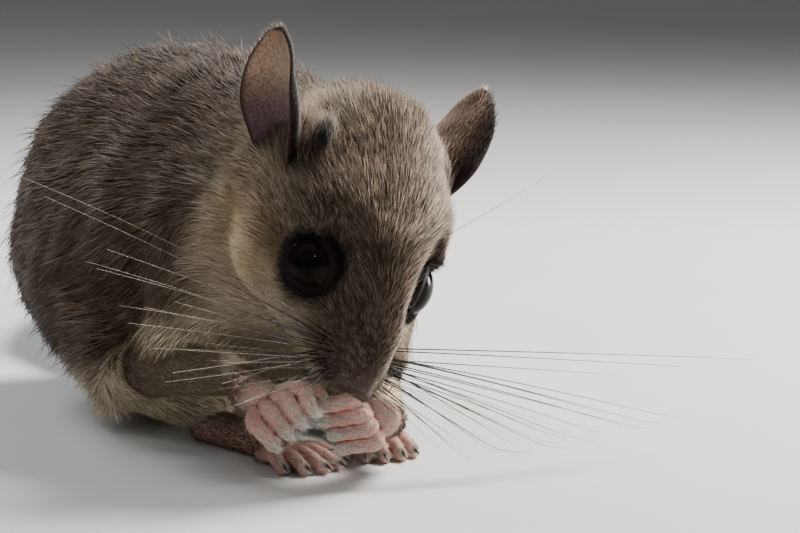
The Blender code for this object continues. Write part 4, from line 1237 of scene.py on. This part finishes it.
def furOnEar(ear, side):
    # brown hair on the back, a pale fringe on the rim and a thin down inside
    _, aim, out, across = earAxes(side)
    mesh = ear.data
    edge, along, front = (tableOf(mesh.attributes[name].data, "value", 1)[:, 0] for name in ("edge", "along", "front"))
    outWay, aimWay = np.array(headAxes @ out), np.array(headAxes @ aim)
    backside = pointNormals(mesh) @ outWay < -0.1
    dense = np.where(edge > 0.95, 18.0, np.where(backside, 26.0, 7.0))
    roots = rootsOn(mesh, np.where(along < 0.04, 0, dense), 51 + side)
    draw = np.random.default_rng(53 + side)
    edge, along, front = (carried(roots, values) for values in (edge, along, front))
    count = len(edge)
    inside = smoothStep(roots["normal"] @ outWay, -0.1, 0.3)
    top = smoothStep(along, 0.55, 0.9)
    frontEdge = smoothStep(front, 0.35, 0.75)
    rim = smoothStep(edge, 0.90, 0.97) * (1 - frontEdge)
    spread = np.array(headAxes @ (across * -side)) * (front * rim * 0.9)[:, None]
    flow = aimWay + spread + draw.normal(0, 0.14, (count, 3))
    length = (1.5 - 0.95 * inside) * (1 - rim) + (0.7 + 0.35 * top) * rim
    length *= draw.uniform(0.65, 1.2, count) * (1 + 1.2 * fades(along, 0.1, 0.4) * (1 - inside))
    lift = np.radians(10 + 8 * draw.random(count) + 14 * rim)
    down = inside * 0.4 * smoothStep(along, 0.3, 0.6) * (1 - frontEdge)
    base = toward(paint("earBack"), paint("earFringe"), np.clip(rim * top * 1.2 + down, 0, 1))
    wide = np.where(inside > 0.5, 0.026, 0.055) * (1 - 0.4 * rim * top)
    return shortHair("earHair" + tag[side], roots, draw, flow, length, lift, 0.4,
                     base * (1 - 0.85 * frontEdge)[:, None], 0.35 * (1 - rim) * (1 - frontEdge), wide, (0.8, 1.2), 0.05)


# Hands and feet
handPlan = {
    "palm": {right: (-16.9, -37, 13.4), left: (0.8, -39, 9.0)},
    "knuckles": {right: ((-11.8, -41.6, 14.4), (-18.4, -40.4, 9.8)), left: ((-5.0, -42, 12.3), (-1.2, -42, 6.2))},
    "tips": {right: ((-10.8, -42.8, 11.8), (-16.6, -42, 7.4)), left: ((-9.2, -41.6, 11.9), (-5.4, -41, 5.6))},
    "back": {right: (-0.55, -0.65, 0.52), left: (0.25, -0.94, 0.25)},
    "thumb": {right: (-8.8, -41.2, 13.7), left: (0.2, -36.6, 8.4)},
    "furReach": {right: 8.2, left: 5.6}, "fingerRadius": 1.2, "clawLength": 2.3, "clawRadius": 0.40, "voxel": 0.16,
}
footPlan = {"heel": {right: (-12, -3), left: (11.5, -1)}, "toes": {right: (-4.8, -32), left: (6.4, -28.5)},
            "spread": 0.26, "toeRadius": 1.12, "voxel": 0.24, "furReach": 24, "ballAt": 0.62, "toeLength": 0.38}


def addDigit(bm, base, knuckle, tip, radius, back):
    # a finger or toe with its joints, a pad under its tip and one under its middle
    middle = knuckle.lerp(tip, 0.5) + back * 0.25 * mm
    path = curvePoints([base, knuckle, middle, tip], 5)
    t = np.linspace(0, 1, len(path))
    joints = 0.07 * bell(t - 0.36, 0.09) + 0.06 * bell(t - 0.68, 0.08) + 0.02 * np.sin(t * 70)
    addTube(bm, path, radius * (1.06 - 0.14 * t + joints) * mm, 14)
    addEllipsoid(bm, tip - back * 0.26 * mm, (radius * 0.96 * mm,) * 3, 14, 9)
    addEllipsoid(bm, middle - back * 0.40 * mm, (radius * 0.86 * mm,) * 3, 12, 8)


def addClaw(bm, tip, ahead, down, size):
    ahead = ahead.normalized()
    length, radius = handPlan["clawLength"] * size, handPlan["clawRadius"] * min(size + 0.1, 1)
    path, sizes = [], []
    for k in range(10):
        t = k / 9
        path.append(tip + ahead * (length * 1.3 * t - 0.5) * mm + down * length * 0.55 * t * t * mm)
        sizes.append(radius * mm * (1.15 * (1 - t) ** 0.7 + 0.07))
    addTube(bm, path, sizes, 10, 0.72, ahead.cross(down).normalized())


def clawPiece(bm, name, tips):
    bmesh.ops.recalc_face_normals(bm, faces=bm.faces)
    mesh = meshOf(bm, name)
    near = lengths(meshPoints(mesh)[:, None, :] - np.array(tips)[None, :, :]).min(1) / mm
    setNumber(mesh, "along", np.clip(near / handPlan["clawLength"], 0, 1))
    aboveFloor(mesh, 0.05)
    settled(newObject(name, mesh, clawHorn), "claw")


def makeHand(side):
    # gives the hand and what its hair needs: its back, the way ahead, the tips, the wrist and the fur's reach
    palm, wrist, elbow, thumb = (model(*place[side]) for place in (
        handPlan["palm"], bodyPlan["wrist"], bodyPlan["elbow"], handPlan["thumb"]))
    knuckles, tips = ([model(*p) for p in handPlan[row][side]] for row in ("knuckles", "tips"))
    back = Vector(handPlan["back"][side]).normalized()
    bm, claws, clawTips = bmesh.new(), bmesh.new(), []
    cuff = wrist.lerp(elbow, 0.22)
    addTube(bm, curvePoints([cuff, wrist, palm], 5), [(1.2 + 0.17 * k) * mm for k in range(11)], 14)
    addEllipsoid(bm, palm, (3.5 * mm, 3.1 * mm, 2.8 * mm))
    for t in (0, 1 / 3, 2 / 3, 1):
        onRow = knuckles[0].lerp(knuckles[1], t)
        base = palm.lerp(onRow, 0.5)
        knuckle = onRow + back * 0.9 * mm * math.sin(math.pi * (0.2 + 0.6 * t))
        tip = tips[0].lerp(tips[1], t)
        addDigit(bm, base, knuckle, tip, handPlan["fingerRadius"], back)
        addEllipsoid(bm, base.lerp(knuckle, 0.35) - back * 1.3 * mm, (1.15 * mm,) * 3, 12, 8)
        addClaw(claws, tip + back * 0.45 * mm, tip - knuckle, -back, 0.8)
        clawTips.append(tip)
    addTube(bm, [palm, palm.lerp(thumb, 0.6), thumb], [1.5 * mm, 1.35 * mm, 1.3 * mm])
    hand = fused(bm, "handSkin" + tag[side], handSkin, handPlan["voxel"] * mm, 2)
    markHollows(hand.data, 40, 0.26)
    settled(hand, "bare_skin", "hand" + tag[side])
    clawPiece(claws, "handClaws" + tag[side], clawTips)
    return hand, back, (tips[0] + tips[1]) / 2 - wrist, clawTips, wrist, handPlan["furReach"][side]


def makeFoot(side):
    heel, toes = model(*footPlan["heel"][side], 2.9), model(*footPlan["toes"][side], 2.2)
    ahead = Vector((toes.x - heel.x, toes.y - heel.y, 0))
    length = ahead.length
    ahead.normalize()
    across, up = Vector((ahead.y, -ahead.x, 0)), Vector((0, 0, 1))
    ball = heel + ahead * length * footPlan["ballAt"]
    ball.z = 2.2 * mm
    bm, claws, clawTips = bmesh.new(), bmesh.new(), []
    addTube(bm, curvePoints([heel, heel.lerp(ball, 0.5), ball], 5), [(2.7 - 0.04 * k) * mm for k in range(11)], 16)
    addEllipsoid(bm, ball, (3.6 * mm, 3.2 * mm, 2.0 * mm))
    for k in (-1, 0, 1):
        pad = ball + across * k * 2.2 * mm + ahead * 0.8 * mm - up * 1.2 * mm
        addEllipsoid(bm, pad, (1.3 * mm, 1.5 * mm, 0.9 * mm))
    for fan in (-1, -0.5, 0, 0.5, 1):
        base = ball + across * fan * 2.9 * mm - up * 0.7 * mm
        reach = length * (footPlan["toeLength"] - 0.09 * fan * fan)
        aim = (ahead + across * fan * footPlan["spread"]).normalized()
        knuckle, tip = base + aim * reach * 0.5, base + aim * reach
        knuckle.z = 2.2 * mm
        tip.z = 0.95 * footPlan["toeRadius"] * mm
        addDigit(bm, base, knuckle, tip, footPlan["toeRadius"] * 0.95, up)
        clawTips.append(tip + up * 0.4 * mm)
        addClaw(claws, clawTips[-1], aim + up * 0.25, -up, 1)
    foot = fused(bm, "footSkin" + tag[side], handSkin, footPlan["voxel"] * mm, 3)
    markHollows(foot.data, 30, 0.45)
    aboveFloor(foot.data, 0)
    settled(foot, "bare_skin", "foot" + tag[side])
    clawPiece(claws, "footClaws" + tag[side], clawTips)
    return foot, up, ahead, clawTips, heel, footPlan["furReach"]


def furOnHand(hand, back, ahead, tips, start, reach, name, length, dense, seed):
    # fine pale hair on a hand or foot, brown and thick up to its reach from the wrist or heel
    unwrapped(hand)

    def nearTips(points):
        far = lengths(points[:, None, :] - np.array(tips)[None, :, :]).min(1) / mm
        return fades(far, 1.1, 2.3)

    def furred(points):
        return fades(lengths(points - np.array(start)) / mm, reach * 0.7, reach)

    points = meshPoints(hand.data)
    near, far = nearTips(points), furred(points)
    facing = smoothStep(pointNormals(hand.data) @ np.array(back), -0.35 - far, 0.35 - far)
    roots = rootsOn(hand.data, (dense + 22 * near + 18 * far) * facing, seed)
    draw = np.random.default_rng(seed + 1)
    near, far = nearTips(roots["point"]), furred(roots["point"])
    count = len(near)
    flow = unit(np.array(ahead)) + draw.normal(0, 0.05, (count, 3))
    length = length * draw.uniform(0.5, 1.15, count) * (1 - 0.15 * near)
    lift = np.radians(draw.uniform(6, 20, count))
    # hair near the tips is brighter: the white tufts of fingers and toes, brightened further as painted light
    base = toward(paint("handHair"), paint("arm"), far) * (0.80 + 0.35 * near)[:, None]
    wide = 0.032 + 0.016 * near + 0.030 * far
    return shortHair(name, roots, draw, flow, length, lift, 0.3, base, np.zeros(count), wide, (0.7, 1.3), 0.1,
                     (7, 0.3, seed + 2))


# Tail; core is the core's share of the brush's width
tailPlan = {"root": (-2, 51), "length": 122, "turn": 84, "halfWidth": 15, "halfHeight": 8.8, "core": 0.42,
            "hairs": 24000, "hairLength": 24, "hairWide": 0.13, "around": 28, "steps": 70, "pieceMost": 11500}


def tailLine(t):
    # for shares t of the tail's length: its middle, its way to the side, and half its width and height
    steps = 60
    middle = (np.arange(steps) + 0.5) / steps
    heading = math.radians(tailPlan["turn"]) * (t[:, None] * middle) ** 1.3
    step = (tailPlan["length"] * t / steps)[:, None]
    x, y = (start + (wave(heading) * step).sum(1) for start, wave in zip(tailPlan["root"], (np.sin, np.cos)))
    end = math.radians(tailPlan["turn"]) * t ** 1.3
    half = tailPlan["halfWidth"] * np.minimum(1, 0.55 + 1.6 * t) * (1 - 0.30 * np.maximum(0, (t - 0.75) / 0.25) ** 1.5)
    high = half * tailPlan["halfHeight"] / tailPlan["halfWidth"]
    return np.stack((x, y, 0.97 * high), 1), np.stack((np.cos(end), -np.sin(end), 0 * end), 1), half, high


def tailPoints(t, angle, share):
    # the brush closes to a round end that lies on the floor
    points, side, half, high = tailLine(t)
    close = np.sqrt(np.clip(1 - (np.maximum(t - 0.84, 0) / 0.165) ** 2, 0.02, 1))
    places = points + side * (half * share * close * np.cos(angle))[:, None]
    places[:, 2] += high * (share * close * np.sin(angle) - 0.8 * (1 - close))
    return places * mm + np.array(modelShift)


def tailUnwrap(around, along):
    return 0.02 + 0.94 * around, 0.02 + 0.96 * along


def makeTailCore():
    around, steps = tailPlan["around"], tailPlan["steps"]
    bm = bmesh.new()
    uvLayer = bm.loops.layers.uv.new("OFBake")
    angles = np.arange(around) * math.tau / around
    rings = []
    for share in np.arange(steps + 1) / steps:
        close = math.sqrt(max(1 - max((share - 0.9) / 0.1, 0) ** 2, 0.0004))
        ring = tailPoints(np.full(around, share * 0.93), angles, np.full(around, tailPlan["core"] * close))
        rings.append([bm.verts.new(p) for p in ring])
    for number, face in enumerate(bridged(bm, rings)):
        i, k = divmod(number, around)
        for loop, (across, ahead) in zip(face.loops, ((0, 0), (1, 0), (1, 1), (0, 1))):
            loop[uvLayer].uv = tailUnwrap((k + across) / around, (i + ahead) / steps * 0.93)
    for ring in (rings[0], rings[-1]):
        bm.faces.new(ring)
    bmesh.ops.recalc_face_normals(bm, faces=bm.faces)
    mesh = meshOf(bm, "tailCore")
    setColour(mesh, np.tile(paint("tail"), (len(mesh.vertices), 1)))
    settled(newObject("tailCore", mesh, furredSkin), "fur_tail", "tail_1", "tail_2", "tail_3", "tail_4")


def furOnTail():
    # long hair that leaves the core and lies along the tail, longest at both sides
    draw = np.random.default_rng(61)
    count = tailPlan["hairs"]
    t = draw.random(count) ** 0.9 * 0.94
    angle = draw.uniform(0, math.tau, count)
    length = tailPlan["hairLength"] * draw.uniform(0.65, 1.08, count) * (0.55 + 0.45 * smoothStep(t, 0, 0.12))
    length = np.minimum(length, (draw.uniform(0.955, 1.0, count) - t) * tailPlan["length"])
    reach = draw.uniform(0.66, 1.02, count) ** 0.7
    reach += (draw.uniform(0.1, 0.95, count) - reach) * smoothStep(t, 0.70, 0.92)
    paths = []
    for u in (-0.03, 0.42, 1.0):
        rise = 1 - (1 - max(u, 0)) ** 1.7
        share = tailPlan["core"] * 0.9 + (reach - tailPlan["core"]) * rise
        here = np.maximum(t + u * length / tailPlan["length"], 0)
        paths.append(tailPoints(here, angle + 0.10 * u * np.sin(angle * 3 + t * 40), share))
    paths, _ = clumped(np.stack(paths, 1), 9, 0.6, 62)
    normal = tailLine(t)[1] * np.cos(angle)[:, None]
    normal[:, 2] += np.sin(angle)
    pale = np.cos(angle) ** 2 * 0.35 + 0.45 * smoothStep(-np.sin(angle), 0.3, 0.9)
    colours = strandColours(toward(paint("tail"), paint("tailEdge"), pale), 3, np.full(count, 0.75), draw)
    wide = tailPlan["hairWide"] * draw.uniform(0.75, 1.2, count)
    uv = np.stack(tailUnwrap(angle / math.tau, t), 1)
    return strandMeshes("tailHair", np.argsort(t, kind="stable"), tailPlan["pieceMost"], paths, normal,
                        np.stack((wide * 0.8, wide), 1), colours, uv)


# Whiskers, by one tree of geometry nodes; reach has the first and longest one of each row
whiskerPlan = {
    "reach": ((62.8, 2.2, 15.3), (55.3, 3.5, 11.0), (50.8, -5.8, 9.9), (42.5, -6.4, 7.3), (35.4, -14.0, 6.8),
              (23.8, -14.3, 5.5)),
    "columns": 5, "coarseColumns": 3, "coarse": (0.104, 0.024), "fine": (0.055, 0.014), "steps": 26, "sides": 6,
    "floor": 3.2, "padRow": (4.0, -9.8, -3.2), "perColumn": (-0.28, -1.15, -0.10), "perRow": (-0.02, -0.15, -0.52),
    "sag": (0.02, 0.10, -0.20),
}
# Root, reach and sag of the bristles over the eye and on the cheek
otherBristles = (((8.6, 3.6, 6.2), (11.5, 6.3, 15.0), (0.3, 1.2, -1.6)),
                 ((11.3, 4.5, -8.0), (12.8431, 4.2810, -3.5675), (0, 1, -1.5)),
                 ((11.3, 6.5, -7.0), (10.4211, 3.4737, 0.5789), (0, 1, -1.5)))


def bristleTree():
    tree = bpy.data.node_groups.new("bristles", "GeometryNodeTree")
    for name, kind in (("Paths", "Geometry"), ("Root radius", "Float"), ("Tip radius", "Float"), ("Steps", "Int"),
                       ("Sides", "Int"), ("Material", "Material")):
        tree.interface.new_socket(name, in_out="INPUT", socket_type="NodeSocket" + kind)
    tree.interface.new_socket("Bristles", in_out="OUTPUT", socket_type="NodeSocketGeometry")

    def node(kind, sockets=None, **settings):
        made = tree.nodes.new(kind)
        for key, value in settings.items():
            setattr(made, key, value)
        for key, value in (sockets or {}).items():
            if isinstance(value, bpy.types.NodeSocket):
                tree.links.new(value, made.inputs[key])
            else:
                made.inputs[key].default_value = value
        return made.outputs

    given = node("NodeGroupInput")
    curve = node("GeometryNodeMeshToCurve", {0: given["Paths"]})[0]
    curve = node("GeometryNodeResampleCurve", {"Curve": curve, "Count": given["Steps"]})[0]
    share = node("GeometryNodeSplineParameter")["Factor"]
    taper = node("ShaderNodeMapRange", {"Value": share, "To Min": given["Root radius"],
                                        "To Max": given["Tip radius"]})[0]
    curve = node("GeometryNodeSetCurveRadius", {"Curve": curve, "Radius": taper})[0]
    curve = node("GeometryNodeStoreNamedAttribute", {"Geometry": curve, "Name": "along", "Value": share},
                 data_type="FLOAT", domain="POINT")[0]
    ring = node("GeometryNodeCurvePrimitiveCircle", {"Resolution": given["Sides"], "Radius": 1.0})[0]
    sweep = tree.nodes.new("GeometryNodeCurveToMesh")
    for key, value in (("Curve", curve), ("Profile Curve", ring), ("Scale", taper)):
        if key in sweep.inputs:
            tree.links.new(value, sweep.inputs[key])
    sweep.inputs["Fill Caps"].default_value = True
    shape = node("GeometryNodeSetShadeSmooth", {"Geometry": sweep.outputs[0]})[0]
    shape = node("GeometryNodeRealizeInstances", {"Geometry": shape})[0]
    shape = node("GeometryNodeSetMaterial", {"Geometry": shape, "Material": given["Material"]})[0]
    node("NodeGroupOutput", {0: shape})
    return tree


def bristles(tree, name, paths, radii, *nodes):
    mesh = bpy.data.meshes.new(name)
    points, edges = [], []
    for path in paths:
        edges += [(len(points) + i, len(points) + i + 1) for i in range(len(path) - 1)]
        points += path
    mesh.from_pydata(points, edges, [])
    obj = newObject(name, mesh, whiskerHair)
    grow = obj.modifiers.new("grow", "NODES")
    grow.node_group = tree
    values = {"Root radius": radii[0] * mm, "Tip radius": radii[1] * mm, "Steps": whiskerPlan["steps"],
              "Sides": whiskerPlan["sides"], "Material": whiskerHair}
    for item in tree.interface.items_tree:
        if item.in_out == "INPUT" and item.name in values:
            grow[item.identifier] = values[item.name]
    evaluated(obj)
    settled(obj, "whisker", *nodes)


def whiskerPath(root, reach, sag, side):
    # a whisker bends away before it gets to the floor
    path = []
    least = whiskerPlan["floor"] * mm
    for i in range(13):
        t = i / 12
        p = root + reach * t + sag * (t * t - t)
        p = head(p.x * side, p.y, p.z)
        p.z = least + 0.5 * (p.z - least + math.hypot(p.z - least, 2 * mm))
        path.append(p)
    return path


def makeWhiskers(tree, side):
    draw = np.random.default_rng(71 + side)
    coarse, fine = [], []
    padRow, perColumn, perRow, sag = (Vector(whiskerPlan[name]) for name in ("padRow", "perColumn", "perRow", "sag"))
    for row, reach in enumerate(whiskerPlan["reach"]):
        for column in range(whiskerPlan["columns"]):
            root = padRow + perColumn * column + perRow * row + Vector(draw.normal(0, 0.12, 3))
            share = (1 - 0.17 * column) * draw.uniform(0.86, 1.0)
            if column == 0 and row < 2:
                share = draw.uniform(0.96, 1.0)
            way = Vector(reach) * share
            way += Vector(draw.normal(0, 0.05, 3)) * way.length * (0.3 if share > 0.9 else 1)
            way.y -= way.length * 0.10 * column
            bend = sag * way.length * draw.uniform(0.5, 1.5)
            path = whiskerPath(root - way.normalized() * 1.1, way, bend, side)
            (coarse if column < whiskerPlan["coarseColumns"] else fine).append(path)
    fine += [whiskerPath(*(Vector(row) for row in rows), side) for rows in otherBristles]
    bristles(tree, "whiskers" + tag[side], coarse, whiskerPlan["coarse"], "whisker_pad" + tag[side])
    bristles(tree, "fineWhiskers" + tag[side], fine, whiskerPlan["fine"])


# Floor and light; each lamp's place is to the right, up and towards the camera from the head, in metres
lampPlan = {
    "key": ((0.26, 0.42, -0.16), 0.22, 8.5, (1, 0.96, 0.90)),
    "rim": ((-0.30, 0.34, -0.30), 0.25, 1.6, (0.95, 0.97, 1)),
    "fill": ((-0.35, 0.40, 0.45), 0.9, 1.6, (1, 0.98, 0.96)),
    "side": ((0.42, 0.06, -0.22), 0.14, 3.0, (1, 0.97, 0.93)),
    "glint": ((-0.02, 0.14, 0.34), 0.012, 0.12, (1, 1, 1)),
}
stagePlan = {"floorRadius": 3.0, "world": (0.67, 0.66, 0.65, 1), "worldStrength": 0.22}


def addLight(name, place, size, power, colour):
    data = bpy.data.lights.new(name, "AREA")
    data.shape = "DISK"
    data.size, data.energy, data.color = size, power, colour
    lamp = bpy.data.objects.new(name, data)
    way = toRight * place[0] + upward * place[1] + toCamera * place[2]
    turn = way.normalized().to_track_quat("Z", "Y").to_matrix().to_4x4()
    lamp.matrix_world = Matrix.Translation(headMiddle + way) @ turn
    bpy.context.scene.collection.objects.link(lamp)


def addStage():
    bm = bmesh.new()
    bmesh.ops.create_circle(bm, cap_ends=True, segments=96, radius=stagePlan["floorRadius"])
    newObject("floor", meshOf(bm, "floor"), finishFloor())
    for name, lamp in lampPlan.items():
        addLight(name, *lamp)
    world = bpy.data.worlds.new("studio")
    world.use_nodes = True
    shade = world.node_tree.nodes["Background"].inputs
    shade["Color"].default_value = stagePlan["world"]
    shade["Strength"].default_value = stagePlan["worldStrength"]
    bpy.context.scene.world = world


print("skin")
skin = makeSkin()
settled(skin, "fur_grey", *[n for n in fleshNodes if not n.startswith(("whisker", "nose"))])
unwrapped(skin)
print("skin:", len(skin.data.polygons), "faces")
skinTree = BVHTree.FromObject(skin, bpy.context.evaluated_depsgraph_get())

print("head")
furPieces = []
for side in bothSides:
    makeEyeball(side)
    furPieces.append(furOnLids(makeLids(side, skinTree), side))
    furPieces.append(furOnEar(makeEar(side), side))
makeNose()

print("hands and feet")
for side in bothSides:
    furPieces.append(furOnHand(*makeHand(side), "handHair" + tag[side], 2.6, 9.0, 81 + side))
    furPieces.append(furOnHand(*makeFoot(side), "footHair" + tag[side], 1.9, 14.0, 85 + side))

print("coat and tail")
makeTailCore()
furPieces += furOnTail() + furOn(skin)
for piece in furPieces:
    settled(piece, "fur_tail" if piece.name.startswith("tail") else "fur_grey")

print("whiskers")
tree = bristleTree()
for side in bothSides:
    makeWhiskers(tree, side)

print("stage")
addStage()
total = sum(len(o.data.polygons) for o in bpy.context.scene.objects if o.type == "MESH")
print("faces in all:", total)
